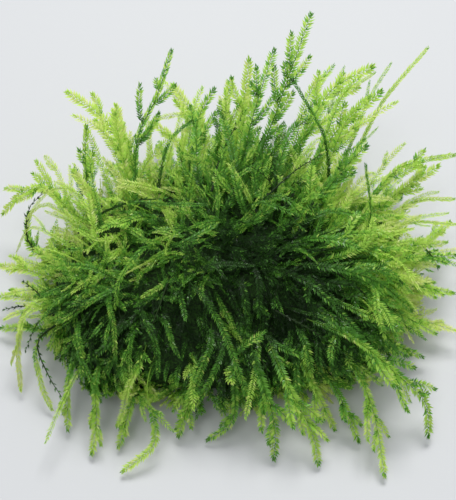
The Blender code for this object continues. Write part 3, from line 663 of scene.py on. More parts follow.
@dataclass(frozen=True)
class Leafing:
    """How leaves stand on a stem, and their shape."""

    length: float = 1.32 * MM
    length_range: tuple[float, float] = (0.88, 1.12)  # against that length
    slimness: float = 0.37  # width against length
    width_range: tuple[float, float] = (0.85, 1.15)  # against that width
    widest: float = 0.25  # share of the length at which a leaf is widest
    foot_size: float = 0.75  # of the lowest leaves, against the others
    foot_share: float = 0.2  # of the leafy part, over which they reach their full size
    pitch: float = 0.62 * MM
    unevenness: float = 0.06  # of the pitch
    fewest: int = 2  # leaves in a row
    angle: float = 60.0  # degrees between a leaf and its stem
    angle_variety: float = 4.0
    bud_angle: float = 30.0  # degrees, in the bud at the tip
    bud_length: float = 1.5 * MM
    bud_leaves: int = 8  # more than in the rows
    bud_span: float = 0.6  # of the bud's length, on which they stand
    bud_shrink: float = 0.3  # how much smaller the leaves in the bud are
    bud_onset: float = 1.15  # above 1, the bud is closed before the tip
    curl: float = 0.3  # radians that the outer half bends forward
    fold: float = 0.22  # depth of the fold along the middle, against the width
    twist: float = 0.22  # radians that a blade turns about its own line
    lowest: float = 0.15 * MM  # least height of a leaf over the ground
    rooting: float = 0.3  # of the stem's radius, where leaves start
    stem_radius: float = 0.15 * MM
    stem_taper: float = 0.8  # of the radius, which the stem loses by its tip
    stem_lowest: float = 0.1 * MM  # least height of a stem
    map_width: float = 0.03  # of a leaf, on the colour map
    foot_tone: float = -0.22  # of the leaves at the foot, against the frond's: older and darker, with painted shade deep in the mat
    foot_age: float = 0.45  # share of the leafy part that has older leaves in painted shade
    tip_tone: float = 0.1
    tone_variety: float = 0.06
    painted_glints: float = 0.08  # share of the leaves made much paler: painted glints, wet highlights put in the colour
    painted_glint_tone: float = 0.22
    rows: tuple[LeafRow, ...] = (
        LeafRow(0, 7, 1.0, 1.0, 1.0, 0.25),
        LeafRow(180, 7, 1.0, 1.0, 1.0, 0.75),
        LeafRow(60, 14, 0.6, 0.6, 0.6, 0.5),
        LeafRow(120, 14, 0.6, 0.6, 0.6, 0.0),
        LeafRow(270, 40, 0.15, 0.6, 0.6, 0.5),
    )
    bud: LeafRow = LeafRow(0, 120, 1.0, 1.0, 0.75, 0.5)  # all round the tip

    def leaf(self, fronds: Fronds, foliage: Foliage, cut: Cut, rng: np.random.Generator) -> None:
        """Grows the leaves of all the fronds.

        Args:
            fronds: The fronds to leaf.
            foliage: What the leaves are added to.
            cut: How finely the leaves are modelled.
            rng: The source of their variety.
        """
        lengths = fronds.leafy_lengths()
        for row in self.rows:
            wanted = np.rint(lengths / (self.pitch * fronds.size) * row.share)
            counts = np.maximum(self.fewest, wanted).astype(int)
            owners, nth = shared_out(counts)
            stray = rng.uniform(-self.unevenness, self.unevenness, len(owners))
            share = (nth + row.phase + stray) / counts[owners]
            self.add_row(fronds, owners, share, row, foliage, cut, rng)
        owners = np.repeat(np.arange(len(fronds)), self.bud_leaves)
        share = 1 - self.bud_span * rng.uniform(0, 1, len(owners)) * self.bud_length / lengths[owners]
        self.add_row(fronds, owners, np.clip(share, 0, 1), self.bud, foliage, cut, rng)

    def add_row(
        self,
        fronds: Fronds,
        owners: Array,
        share: Array,
        row: LeafRow,
        foliage: Foliage,
        cut: Cut,
        rng: np.random.Generator,
    ) -> None:
        """Grows one row of leaves.

        Args:
            fronds: The fronds that carry them.
            owners: Each leaf's frond.
            share: How far along the leafy part of the frond each leaf stands.
            row: The row that they are in.
            foliage: What the leaves are added to.
            cut: How finely they are modelled.
            rng: The source of their variety.
        """
        reach = fronds.leafy_lengths()[owners]
        bud = np.minimum(self.bud_length, reach / 3)  # at most a third of the leafy part
        budding = eased(self.bud_onset - (1 - share) * reach / bud)
        root, left, right, middle, tip = self.corners(fronds, owners, share, budding, row, rng)
        tone = self.tones(fronds, owners, share, budding, rng)
        if cut is Cut.FOLDED:
            corners = (root, left, right, middle, tip)
            spots = ((0, MAP_FOOT), (1, self.widest), (-1, self.widest), (0, 0.5), (0, MAP_TIP))
            faces = np.array([[0, 2, 3], [0, 3, 1], [3, 2, 4], [3, 4, 1]])
        else:
            corners = (root, left, right, tip)
            spots = ((0, MAP_FOOT), (1, self.widest), (-1, self.widest), (0, MAP_TIP))
            faces = np.array([[0, 2, 3], [0, 3, 1]])
        points = np.stack(corners, axis=1).reshape(-1, 3)
        count = len(owners)
        marks = [np.stack([tone + u * self.map_width, np.full(count, v)], axis=1) for u, v in spots]
        marks = np.stack(marks, axis=1).reshape(-1, 2)
        numbered = (np.arange(count) * len(corners))[:, None, None] + faces[None]
        finishes = np.repeat(np.searchsorted(TONE_STEPS, tone), len(faces))
        foliage.add(points, numbered.reshape(-1, 3), marks, finishes)

    def corners(
        self,
        fronds: Fronds,
        owners: Array,
        share: Array,
        budding: Array,
        row: LeafRow,
        rng: np.random.Generator,
    ) -> tuple[Array, ...]:
        """The corners of the leaves of one row.

        Args:
            fronds: The fronds that carry them.
            owners: Each leaf's frond.
            share: How far along the leafy part of the frond each leaf stands.
            budding: How far each leaf belongs to the bud at the tip, from 0 to 1.
            row: The row that they are in.
            rng: The source of their variety.

        Returns:
            The root, left, right, middle and tip of each leaf, each of shape (n, 3).
        """
        count = len(owners)
        foot, along = fronds.at(owners, fronds.bare[owners] + (1 - fronds.bare[owners]) * share)
        side = unit(np.cross(along, fronds.facing[owners]))
        azimuth = np.radians(row.azimuth + rng.normal(0, row.spread, count))[:, None]
        out = side * np.cos(azimuth) + np.cross(side, along) * np.sin(azimuth)
        usual = (self.angle * (1 - budding) + self.bud_angle * budding) * row.lean
        angle = np.radians(usual + rng.normal(0, self.angle_variety, count))[:, None]
        growth = self.foot_size + (1 - self.foot_size) * eased(share / self.foot_share)
        size = fronds.size[owners] * row.length * growth * (1 - self.bud_shrink * budding)
        length = (self.length * size * rng.uniform(*self.length_range, count))[:, None]
        width = length * self.slimness * rng.uniform(*self.width_range, (count, 1))

        first = along * np.cos(angle) + out * np.sin(angle)
        second = along * np.cos(angle - self.curl) + out * np.sin(angle - self.curl)
        across = out * np.cos(angle) - along * np.sin(angle)
        turn = rng.normal(0, self.twist, (count, 1))
        across = across * np.cos(turn) + np.cross(first, across) * np.sin(turn)
        lift = np.cross(first, across)
        root = foot + out * self.stem_radius * self.rooting
        waist = root + first * length * self.widest
        left, right = waist + across * width / 2, waist - across * width / 2
        middle = root + first * length * 0.5 - lift * width * self.fold
        tip = root + (first + second) * length / 2
        for corner in (left, right, middle, tip):
            corner[:, 2] = np.maximum(corner[:, 2], self.lowest)
        return root, left, right, middle, tip

    def tones(
        self, fronds: Fronds, owners: Array, share: Array, budding: Array, rng: np.random.Generator
    ) -> Array:
        """The tones of the leaves of one row.

        Args:
            fronds: The fronds that carry them.
            owners: Each leaf's frond.
            share: How far along the leafy part of the frond each leaf stands.
            budding: How far each leaf belongs to the bud at the tip, from 0 to 1.
            rng: The source of their variety.

        Returns:
            Tones, shape (n,).
        """
        count = len(owners)
        shade = rng.normal(0, self.tone_variety, count) + fronds.bud[owners] * budding
        # Painted glints: a few leaves made much paler, standing in for wet highlights.
        shade = shade + self.painted_glint_tone * (rng.uniform(0, 1, count) < self.painted_glints)
        # Darker at the foot, where older leaves sit deep in the mat with painted shade, and paler towards the
        # young tip.
        age_and_shade = self.foot_tone * (1 - eased(share / self.foot_age)) + self.tip_tone * eased(share)
        return np.clip(fronds.tone[owners] + shade + age_and_shade, *TONE_LIMITS)

    def stem(self, fronds: Fronds, foliage: Foliage, thickness: float = 1.0) -> None:
        """Grows the stems of all the fronds, as thin rods that taper towards the tip.

        Args:
            fronds: The fronds to give a stem.
            foliage: What the stems are added to.
            thickness: The radius at the foot against stem_radius.
        """
        count, stations = fronds.lines.shape[:2]
        tangents = fronds.tangents()
        side = unit(np.cross(tangents, fronds.facing[:, None]))
        back = np.cross(side, tangents)
        places = np.linspace(0, 1, stations)
        radius = self.stem_radius * thickness * (1 - self.stem_taper * places)[None, :, None]
        radius = radius * fronds.size[:, None, None]
        rings = []
        for corner in range(STEM_SIDES):
            around = 2 * math.pi * corner / STEM_SIDES + math.pi / 2
            rings.append(fronds.lines + radius * (side * math.cos(around) + back * math.sin(around)))
        points = np.stack(rings, axis=2)
        points[..., 2] = np.maximum(points[..., 2], self.stem_lowest)
        tone = np.clip(fronds.tone, *TONE_LIMITS)
        marks = np.empty((count, stations, STEM_SIDES, 2))
        marks[..., 0] = tone[:, None, None] + self.map_width * np.linspace(-1, 1, STEM_SIDES)
        marks[..., 1] = (MAP_FOOT + (MAP_TIP - MAP_FOOT) * places)[None, :, None]
        here = np.arange(stations - 1) * STEM_SIDES
        above = here + STEM_SIDES
        strips = []
        for corner in range(STEM_SIDES):
            after = (corner + 1) % STEM_SIDES
            strips.append(np.stack([here + corner, here + after, above + after], axis=1))
            strips.append(np.stack([here + corner, above + after, above + corner], axis=1))
        last = (stations - 1) * STEM_SIDES
        faces = np.concatenate([*strips, np.array([[last, last + 1, last + 2]])])
        numbered = (np.arange(count) * stations * STEM_SIDES)[:, None, None] + faces[None]
        foliage.add(
            points.reshape(-1, 3),
            numbered.reshape(-1, 3),
            marks.reshape(-1, 2),
            np.full(count * len(faces), LEAF_ORDER.index(Finish.STEM)),
        )


@dataclass(frozen=True)
class Sprigging:
    """How side sprigs stand on a frond."""

    first: float = 0.2
    last: float = 0.85
    spacing: tuple[float, float] = (0.25, 0.75)  # where each stands in its own part of the frond
    angle: float = 42.0  # degrees
    angle_variety: float = 7.0  # degrees
    tilt: float = 0.22  # out of the frond's plane
    reach: float = 0.5  # of the length that is left of the frond
    reach_range: tuple[float, float] = (0.7, 1.25)  # against that reach
    longest: float = 8.0 * MM
    shortest: float = 2.2 * MM
    sweep: float = 0.55  # how far they bend towards the frond's tip
    lowest: float = 0.6 * MM
    stations: int = 5
    facing_variety: float = 0.15
    size: float = 0.86  # of their leaves, against the frond's
    lighter: float = 0.03  # tone against the frond's
    tone_variety: float = 0.03
    bare: float = 0.06

    def grow(self, fronds: Fronds, counts: Array, rng: np.random.Generator) -> Fronds:
        """Sprigs by turns to the left and the right of each frond.

        Args:
            fronds: The fronds that carry them.
            counts: How many on each frond.
            rng: The source of their variety.

        Returns:
            The sprigs.
        """
        owners, nth = shared_out(counts)
        count = len(owners)
        share = (nth + rng.uniform(*self.spacing, count)) / np.maximum(counts[owners], 1)
        place = self.first + (self.last - self.first) * share
        foot, along = fronds.at(owners, place)
        facing = fronds.facing[owners]
        side = unit(np.cross(along, facing)) * np.where(nth % 2, -1.0, 1.0)[:, None]
        out = unit(side + facing * rng.normal(0, self.tilt, (count, 1)))
        angle = np.radians(self.angle + rng.normal(0, self.angle_variety, count))[:, None]
        heading = along * np.cos(angle) + out * np.sin(angle)
        reach = fronds.lengths()[owners] * (1 - place) * self.reach * rng.uniform(*self.reach_range, count)
        reach = np.clip(reach, self.shortest, self.longest)[:, None]
        lines = []
        for t in np.linspace(0, 1, self.stations):
            bent = unit(heading + along * self.sweep * t)
            lines.append(foot + bent * reach * t)
        points = np.stack(lines, axis=1)
        points[..., 2] = np.maximum(points[..., 2], self.lowest)
        lighter = rng.normal(self.lighter, self.tone_variety, count)
        return Fronds(
            points,
            unit(facing + rng.normal(0, self.facing_variety, facing.shape)),
            fronds.size[owners] * self.size,
            fronds.tone[owners] + lighter,
            np.full(count, self.bare),
            fronds.bud[owners],
        )


@dataclass(frozen=True)
class FreeShoots:
    """The shoots that stand out of the mat, each grown along its solid's own route."""

    mound: Mound
    sprigging: Sprigging = Sprigging(first=0.36, last=0.72, angle=38.0, reach=0.55, shortest=2.0 * MM)
    twigging: Sprigging = Sprigging(first=0.15, last=0.92, angle=44.0, reach=0.3, longest=4.5 * MM)
    twigs_per_length: float = 0.05 / MM
    foot_depth: float = 2.5 * MM
    stations: int = 26
    upward: float = 0.9  # how strongly the flat side looks up
    outward: float = 0.45  # how strongly it looks away from the mat
    forward: float = 0.6  # how strongly it looks forwards, at the back
    thickness: float = 1.3  # of the stem, against its sprigs' stems
    bud_tone: float = -0.18  # how the tip differs
    tone_variety: float = 0.05
    tones: Mapping[Finish, float] = field(
        default_factory=lambda: {
            Finish.GREEN: 0.56,
            Finish.LIME: 0.74,
            Finish.STRAW: 0.84,
            Finish.STEM: 0.34,
        }
    )
    leafings: Mapping[Habit, Leafing] = field(
        default_factory=lambda: {
            Habit.COMB: Leafing(length=1.5 * MM, slimness=0.42),
            Habit.ROPE: Leafing(length=1.35 * MM, angle=42.0, stem_radius=0.2 * MM),
            Habit.SCALY: Leafing(length=1.0 * MM, angle=32.0, pitch=0.6 * MM, bud_leaves=4),
        }
    )

    def start(self, route: Array) -> float:
        """Where a route comes up out of the mat.

        Args:
            route: The points that it goes through, shape (n, 3).

        Returns:
            The last place at the foot's depth, from 0 to 1.
        """
        fine = even_points(route, FINE_STEPS)
        deep = np.flatnonzero(self.mound.height(fine) < -self.foot_depth)
        return deep[-1] / FINE_STEPS if len(deep) else 0.0

    def facing(self, line: Array) -> Array:
        """What a frond's flat side looks at: up, away from the mat, and forwards at the back.

        Args:
            line: The frond's centre line, shape (n, 3).

        Returns:
            A unit vector.
        """
        middle = line.mean(axis=0)
        outward = unit(middle - self.mound.centre)
        forward = FORWARD * self.forward * backness(middle)
        return unit(UP * self.upward + outward * self.outward + forward)

    def frond(self, shoot: Shoot, tone: float) -> Fronds:
        """One shoot's frond, without its sprigs.

        Args:
            shoot: Its finish and route.
            tone: How far it differs from its finish's tone.

        Returns:
            The frond.
        """
        route = np.array(shoot.route) * MM
        line = even_points(route, self.stations, self.start(route))
        width = 1.0 if shoot.habit is Habit.SCALY else shoot.width
        return Fronds(
            line[None],
            self.facing(line)[None],
            np.array([width]),
            np.array([self.tones[shoot.finish] + shoot.tone + tone]),
            np.array([shoot.bare]),
            np.array([self.bud_tone]),
        )

    def build(self, name: str, shoot: Shoot, wardrobe: Wardrobe) -> bpy.types.Object:
        """One shoot with its sprigs, leaves and stems.

        Args:
            name: The node that it stands for.
            shoot: Its finish and route.
            wardrobe: The material of each finish.

        Returns:
            The finished piece, riding on the clump.
        """
        rng = np.random.default_rng([SEED, list(SHOOTS).index(name)])
        frond = self.frond(shoot, rng.normal(0, self.tone_variety))
        foliage = Foliage()
        leafing = self.leafings[shoot.habit]
        leafing.stem(frond, foliage, self.thickness)
        leafing.leaf(frond, foliage, Cut.FOLDED, rng)
        if shoot.sprigs:
            sprigs = self.sprigging.grow(frond, np.array([shoot.sprigs]), rng)
            twigs = np.rint(frond.lengths() * self.twigs_per_length).astype(int)
            sides = Fronds.joined([sprigs, self.twigging.grow(frond, twigs, rng)])
            leafing = self.leafings[Habit.COMB]
            leafing.stem(sides, foliage)
            leafing.leaf(sides, foliage, Cut.FOLDED, rng)
        piece = foliage.make(f"{name}_leafy", wardrobe)
        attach(piece, ROOT)
        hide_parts(name)
        return piece


@dataclass(frozen=True)
class Companions:
    """Thinner fronds that grow beside the free shoots and end short of their tips."""

    shoots: FreeShoots
    each: int = 2  # beside a shoot
    hanging: float = -3 * MM  # y; a shoot whose tip lies before it hangs, and has one companion
    stations: int = 12
    reach: tuple[float, float] = (0.45, 0.92)  # against the shoot's
    hanging_reach: tuple[float, float] = (0.35, 0.62)
    foot_stray: Array = field(default_factory=lambda: np.array([1.2, 1.2, 0.5]) * MM)
    tip_stray: Array = field(default_factory=lambda: np.array([4.0, 4.0, 1.5]) * MM)
    parting: float = 1.6  # above 1, they part from the shoot late
    lowest: float = 0.9 * MM
    facing_variety: float = 0.25
    size: tuple[float, float] = (0.7, 0.95)  # of their leaves, against the shoot's
    tone_variety: float = 0.07
    bare: float = 0.08
    bud_tone: float = -0.1

    def grow(self, rng: np.random.Generator) -> Fronds:
        """The companions of all the free shoots.

        Args:
            rng: The source of their variety.

        Returns:
            The fronds, which belong to the mat's cover.
        """
        sets = []
        for shoot in SHOOTS.values():
            if shoot.habit is Habit.SCALY:
                continue
            hangs = shoot.route[-1][1] * MM < self.hanging
            for _ in range(1 if hangs else self.each):
                sets.append(self.beside(shoot, self.hanging_reach if hangs else self.reach, rng))
        return Fronds.joined(sets)

    def beside(self, shoot: Shoot, reaches: tuple[float, float], rng: np.random.Generator) -> Fronds:
        """One companion of a shoot.

        Args:
            shoot: The shoot that it grows beside.
            reaches: The least and the greatest share of the shoot's length.
            rng: The source of its variety.

        Returns:
            The frond.
        """
        route = np.array(shoot.route) * MM
        whole = even_points(route, self.shoots.stations, self.shoots.start(route))
        reach = rng.uniform(*reaches)
        line = even_points(whole[: int(round(len(whole) * reach))], self.stations)
        share = np.linspace(0, 1, self.stations)[:, None]
        foot, tip = rng.normal(0, 1, (2, 3)) * (self.foot_stray, self.tip_stray)
        line = line + foot * (1 - share) + tip * share**self.parting
        line[:, 2] = np.maximum(line[:, 2], self.lowest)
        facing = unit(self.shoots.facing(line) + rng.normal(0, self.facing_variety, 3))
        size = shoot.width * rng.uniform(*self.size)
        tone = self.shoots.tones[shoot.finish] + shoot.tone + rng.normal(0.0, self.tone_variety)
        return Fronds(
            line[None],
            facing[None],
            np.array([size]),
            np.array([tone]),
            np.array([self.bare]),
            np.array([self.bud_tone]),
        )


@dataclass(frozen=True)
class LongFronds:
    """The long fronds that lie over the mat, each along a route of its own."""

    shoots: FreeShoots
    stations: int = 12
    facing_variety: float = 0.15
    bare: float = 0.05
    bud_tones: tuple[float, ...] = (-0.12, 0.05)

    def grow(self, rng: np.random.Generator) -> Fronds:
        """All the long fronds.

        Args:
            rng: The source of their variety.

        Returns:
            The fronds, which belong to the mat's cover.
        """
        count = len(RUNNERS)
        routes = [np.array(runner.route) * MM for runner in RUNNERS]
        lines = np.stack([even_points(route, self.stations) for route in routes])
        facing = [
            unit(self.shoots.facing(line) + rng.normal(0, self.facing_variety, 3)) for line in lines
        ]
        return Fronds(
            lines,
            np.stack(facing),
            np.array([runner.width for runner in RUNNERS]),
            np.array([runner.tone for runner in RUNNERS]),
            np.full(count, self.bare),
            rng.choice(self.bud_tones, count),
        )


class Patch(NamedTuple):
    """A place of the clump whose leaves differ from the rest."""

    place: tuple[float, float, float]  # millimetres
    spread: float  # millimetres
    tone: float

    def weight(self, points: Array) -> Array:
        """How strongly points belong to the patch, from 0 to 1."""
        away = np.linalg.norm(points / MM - np.array(self.place), axis=1) / self.spread
        return np.exp(-(away**2))


@dataclass(frozen=True)
class Groom:
    """How the fronds lie all over the mat, blended from the places where it is known."""

    lays: tuple[Lay, ...] = LAYS
    say: float = 6.0 * MM  # how far a place's say goes

    def shares(self, points: Array) -> Array:
        """How much each place says at points.

        Args:
            points: Points, shape (n, 3).

        Returns:
            Shares that add up to 1 for each point, shape (n, places).
        """
        places = np.array([lay.place for lay in self.lays]) * MM
        away = (np.linalg.norm(points[:, None] - places[None], axis=2) / self.say) ** 2
        weights = np.exp(away.min(axis=1, keepdims=True) - away)
        return weights / weights.sum(axis=1, keepdims=True)

    def read(self, shares: Array, part: str) -> Array:
        """The lays' numbers of one kind, blended by shares."""
        return shares @ np.array([getattr(lay, part) for lay in self.lays], dtype=float)

    def flow(self, shares: Array) -> Array:
        """The level directions in which the fronds set off."""
        bearings = np.radians([lay.bearing for lay in self.lays])
        return unit(shares @ np.stack([np.cos(bearings), np.sin(bearings), 0 * bearings], axis=1))


@dataclass(frozen=True)
class Layer:
    """One layer of the fronds that cover the mat."""

    count: int  # that are tried
    length: float
    stray: float  # against the lays'
    deepest: float  # foot under the mat's surface
    clearance: tuple[float, float]  # over the mat, that they tend to
    size: float  # of their leaves
    shade: float  # how much paler they are than their place, as painted light, or darker below 0, as painted shade
    gaps: float  # how strongly they thin out where the lays' crowd is small
    sprigs: tuple[int, int]  # fewest and most


@dataclass(frozen=True)
class Cover:
    """The leafy sprays that hide the mat between the free shoots."""

    mound: Mound
    leafing: Leafing
    sprigging: Sprigging = Sprigging()
    groom: Groom = Groom()
    stations: int = 12
    lowest: float = 0.7 * MM
    lowest_rise: float = -0.25  # of the feet, where 1 is straight above the mound's centre
    stray_clouds: float = 0.4  # radians that whole locks turn aside
    stray_lumps: float = 9 * MM
    lift_variety: float = 9.0  # degrees
    variety: float = 0.18  # of the lengths
    length_limits: tuple[float, float] = (0.5, 1.5)  # against the usual for the place
    rim: float = 1.08  # how far out tips reach, against the mound's half size
    front_rim: float = 1.0
    rim_range: tuple[float, float] = (0.9, 1.12)  # against that reach
    overhang: float = 2 * MM  # past that reach
    shortest: float = 4.5 * MM  # of the fronds that root near the rim
    droop: float = 0.7
    front_droop: float = 0.9  # more at the front
    back_droop: float = -0.4  # more at the back
    droop_variety: float = 0.2
    weight: float = 0.045  # bend down per millimetre, times the droop
    pull: float = 0.12  # bend per millimetre, back to the height over the mat that a frond keeps
    pull_range: float = 6 * MM  # off that height, at which the pull is full
    pull_limits: tuple[float, float] = (-0.6, 1)
    swerve: float = 0.1  # bend sideways per millimetre
    swerve_turn: float = 4.0  # radians of its wave along a frond
    swerve_lumps: float = 2 * MM
    forward: float = 0.9  # how strongly the flat sides look forwards, at the back
    facing_variety: float = 0.38
    finest: float = 0.15  # size of the leaves on the shortest fronds
    coarsest: float = 1.05  # on the longest
    size_range: tuple[float, float] = (0.72, 1.16)  # against that size
    bare_range: tuple[float, float] = (0.02, 0.12)
    bud_tones: tuple[float, ...] = (-0.18, 0.0, 0.08)
    evenness: float = 0.8  # share of the fronds that grow, halfway between thick and thin
    gap_clouds: float = 0.5  # more in the thick lumps, less in the thin ones
    gap_lumps: float = 7 * MM
    tone_clouds: float = 0.12
    tone_lumps: float = 6 * MM
    tone_variety: float = 0.11
    palest: float = 0.84  # tone of a frond
    shade_end: float = 1.1  # tone towards which a layer's painted light leads, and away from which its painted shade leads
    companion_sprigs: tuple[int, int] = (0, 2)
    runner_sprigs: tuple[int, int] = (0, 1)
    crown: float = 0.5  # how far out its piece goes, against the mound's half size
    zone_names: tuple[str, ...] = (  # round the crown, from +X
        "right",
        "back_right",
        "back",
        "back_left",
        "left",
        "front_left",
        "front",
        "front_right",
    )
    layers: tuple[Layer, ...] = (
        # The first layer lies under the others and carries painted shade; the last lies on top with a little
        # painted light.
        Layer(2700, 8.0 * MM, 1.6, 5 * MM, (-1.5 * MM, 0.8 * MM), 0.68, -0.25, 0.4, (0, 1)),
        Layer(2900, 12.0 * MM, 1.1, 4 * MM, (0.0, 2.5 * MM), 0.8, 0.0, 1.3, (0, 1)),
        Layer(300, 18.0 * MM, 0.8, 2 * MM, (1.5 * MM, 4.0 * MM), 0.95, 0.05, 1.5, (0, 2)),
    )
    patches: tuple[Patch, ...] = (
        Patch((-11, 13, 27), 2.5, 0.86),
        Patch((-25, 19, 22), 2.5, 0.86),
        Patch((17, 15, 24), 2.5, 0.86),
        Patch((8, 14, 26), 1.5, 0.93),
        Patch((-22, 12, 24), 2.0, 0.9),
    )

    @staticmethod
    def clouds(points: Array, size: float, shift: float = 0.0) -> Array:
        """Soft noise about -1..1 whose lumps have the given size.

        Args:
            points: Where it is read, shape (n, 3).
            size: Of a lump.
            shift: Moves the lumps, so that two readings differ.

        Returns:
            Values, shape (n,).
        """
        return np.array([2 * noise.noise(Vector(point / size)) for point in points + shift])

    def outwardness(self, points: Array) -> Array:
        """How far out points lie, seen from above: 0 at the crown, 1 at the mound's rim."""
        return np.linalg.norm((points - self.mound.centre)[:, :2] / self.mound.half_size[:2], axis=1)

    def tones(self, points: Array, rng: np.random.Generator) -> Array:
        """The tone of fronds by where they are, as the groom and the patches say.

        Args:
            points: The middle of each frond, shape (n, 3).
            rng: The source of their variety.

        Returns:
            Tones, shape (n,).
        """
        tone = self.groom.read(self.groom.shares(points), "tone")
        for patch in self.patches:
            tone = tone + (patch.tone - tone) * patch.weight(points)
        clouds = self.tone_clouds * self.clouds(points, self.tone_lumps)
        tone = tone + clouds + rng.normal(0, self.tone_variety, len(points))
        return np.minimum(tone, self.palest)

    def grow(
        self, feet: Array, heading: Array, lengths: Array, droop: Array, clearance: Array, swerve: Array
    ) -> Array:
        """Lets fronds grow over the mound, bending down under their weight and swerving.

        Args:
            feet: Where each starts, shape (n, 3).
            heading: The direction in which each sets off.
            lengths: How long each gets.
            droop: How strongly each bends down.
            clearance: How high over the mound each tries to stay.
            swerve: How strongly each turns sideways.

        Returns:
            Centre lines, shape (n, stations, 3).
        """
        lines = np.empty((len(feet), self.stations, 3))
        phase = math.pi * self.clouds(feet, self.swerve_lumps, shift=3.0)
        point, going = feet.copy(), unit(heading)
        step = lengths / (self.stations - 1)
        turning = step / MM
        for station, place in enumerate(np.linspace(0, 1, self.stations)):
            lines[:, station] = point
            normal = self.mound.normals(point)
            off = (clearance - self.mound.height(point)) / self.pull_range
            pull = np.clip(off, *self.pull_limits) * self.pull * turning
            weight = droop * self.weight * turning
            swing = swerve * turning * np.sin(phase + self.swerve_turn * place)
            aside = np.cross(normal, going) * swing[:, None]
            going = unit(going + normal * pull[:, None] - UP * weight[:, None] + aside)
            low = point[:, 2] + going[:, 2] * step < self.lowest
            going[low, 2] = np.maximum(going[low, 2], 0.0)
            going = unit(going)
            point = point + going * step[:, None]
            point[:, 2] = np.maximum(point[:, 2], self.lowest)
        return lines

    def feet(self, layer: Layer, rng: np.random.Generator) -> Array:
        """Where the fronds of a layer root, all over the mound.

        Args:
            layer: What they are like.
            rng: The source of their variety.

        Returns:
            Points, shape (n, 3).
        """
        height = rng.uniform(self.lowest_rise, 1, layer.count)
        bearing = rng.uniform(-math.pi, math.pi, layer.count)
        flat = np.sqrt(1 - height**2)
        direction = np.stack([flat * np.cos(bearing), flat * np.sin(bearing), height], axis=1)
        direction = unit(direction * self.mound.half_size)
        feet = self.mound.at(direction, rng.uniform(0, layer.deepest, layer.count))
        feet[:, 2] = np.maximum(feet[:, 2], self.lowest)
        return feet

    def headings(self, feet: Array, shares: Array, astray: Array, rng: np.random.Generator) -> Array:
        """The directions in which fronds set off, flowing over the mound in locks.

        Args:
            feet: Where they root, shape (n, 3).
            shares: How much each place of the groom says there.
            astray: How far each may stray, in radians.
            rng: The source of their variety.

        Returns:
            Unit vectors, shape (n, 3).
        """
        count = len(feet)
        normal = self.mound.normals(feet)
        level = self.groom.flow(shares)
        flow = unit(level - normal * (level * normal).sum(axis=1, keepdims=True))
        clouds = self.stray_clouds * self.clouds(feet, self.stray_lumps)
        stray = (clouds + rng.normal(0, 1, count) * astray)[:, None]
        flow = flow * np.cos(stray) + np.cross(normal, flow) * np.sin(stray)
        rise = self.groom.read(shares, "lift") + rng.normal(0, self.lift_variety, count)
        lift = np.radians(rise)[:, None]
        return flow * np.cos(lift) + normal * np.sin(lift)

    def lengths(self, feet: Array, usual: Array, front: Array, rng: np.random.Generator) -> Array:
        """How long fronds get, so that few reach past the mound's rim.

        Args:
            feet: Where they root, shape (n, 3).
            usual: The usual length there.
            front: How far each lies towards the front, from 0 to 1.
            rng: The source of their variety.

        Returns:
            Lengths, shape (n,).
        """
        count = len(feet)
        outness = self.outwardness(feet)
        rim = (self.rim + (self.front_rim - self.rim) * front) * rng.uniform(*self.rim_range, count)
        room = (rim - outness) * np.linalg.norm((feet - self.mound.centre)[:, :2], axis=1) / outness
        wanted = usual * rng.normal(1, self.variety, count).clip(*self.length_limits)
        return np.minimum(wanted, np.maximum(room + self.overhang, self.shortest))

    def rooted(self, layer: Layer, rng: np.random.Generator) -> Fronds:
        """Main fronds all over the mound, which lie as the groom says.

        Args:
            layer: What they are like.
            rng: The source of their variety.

        Returns:
            The fronds; those in a hollow and at the thin places are left out.
        """
        feet = self.feet(layer, rng)
        count = len(feet)
        shares = self.groom.shares(feet)
        astray = self.groom.read(shares, "stray") * layer.stray
        vigour = self.groom.read(shares, "length")
        back, front = backness(feet), frontness(feet)
        heading = self.headings(feet, shares, astray, rng)
        lengths = self.lengths(feet, layer.length * vigour, front, rng)
        droop = self.droop + self.front_droop * front + self.back_droop * back
        droop = droop + rng.normal(0, self.droop_variety, count)
        clearance = rng.uniform(*layer.clearance, count)
        swerve = rng.normal(0, self.swerve, count) * (1 + astray)
        lines = self.grow(feet, heading, lengths, droop, clearance, swerve)

        middle = lines[:, self.stations // 2]
        crowd = self.groom.read(self.groom.shares(middle), "crowd")
        thickness = self.evenness + self.gap_clouds * self.clouds(feet, self.gap_lumps, shift=1.0)
        kept = rng.uniform(0, 1, count) < crowd**layer.gaps * thickness
        tone = self.tones(middle, rng)
        facing = self.mound.normals(middle) + FORWARD * self.forward * back[:, None]
        coarseness = np.minimum(self.finest + (1 - self.finest) * vigour, self.coarsest)
        # The layer's shade is painted: below 0 painted shade darkens the tone, above 0 painted light pales it
        # towards shade_end.
        fronds = Fronds(
            lines,
            unit(facing + rng.normal(0, self.facing_variety, (count, 3))),
            layer.size * coarseness * rng.uniform(*self.size_range, count),
            tone + layer.shade * (self.shade_end - tone),
            rng.uniform(*self.bare_range, count),
            rng.choice(self.bud_tones, count),
        )
        return fronds.picked(kept)

    def zones(self, fronds: Fronds) -> dict[str, Array]:
        """Which fronds belong to which piece of the cover, by where they root.

        Args:
            fronds: The fronds to share out.

        Returns:
            A mask for each piece's name.
        """
        feet = fronds.lines[:, 0]
        bearing = np.degrees(np.arctan2(feet[:, 1] - self.mound.centre[1], feet[:, 0])) % 360
        crown = self.outwardness(feet) < self.crown
        zones = {"crown": crown}
        width = 360 / len(self.zone_names)
        for number, name in enumerate(self.zone_names):
            off = (bearing - number * width + 180) % 360 - 180
            zones[name] = (off >= -width / 2) & (off < width / 2) & ~crown
        return zones

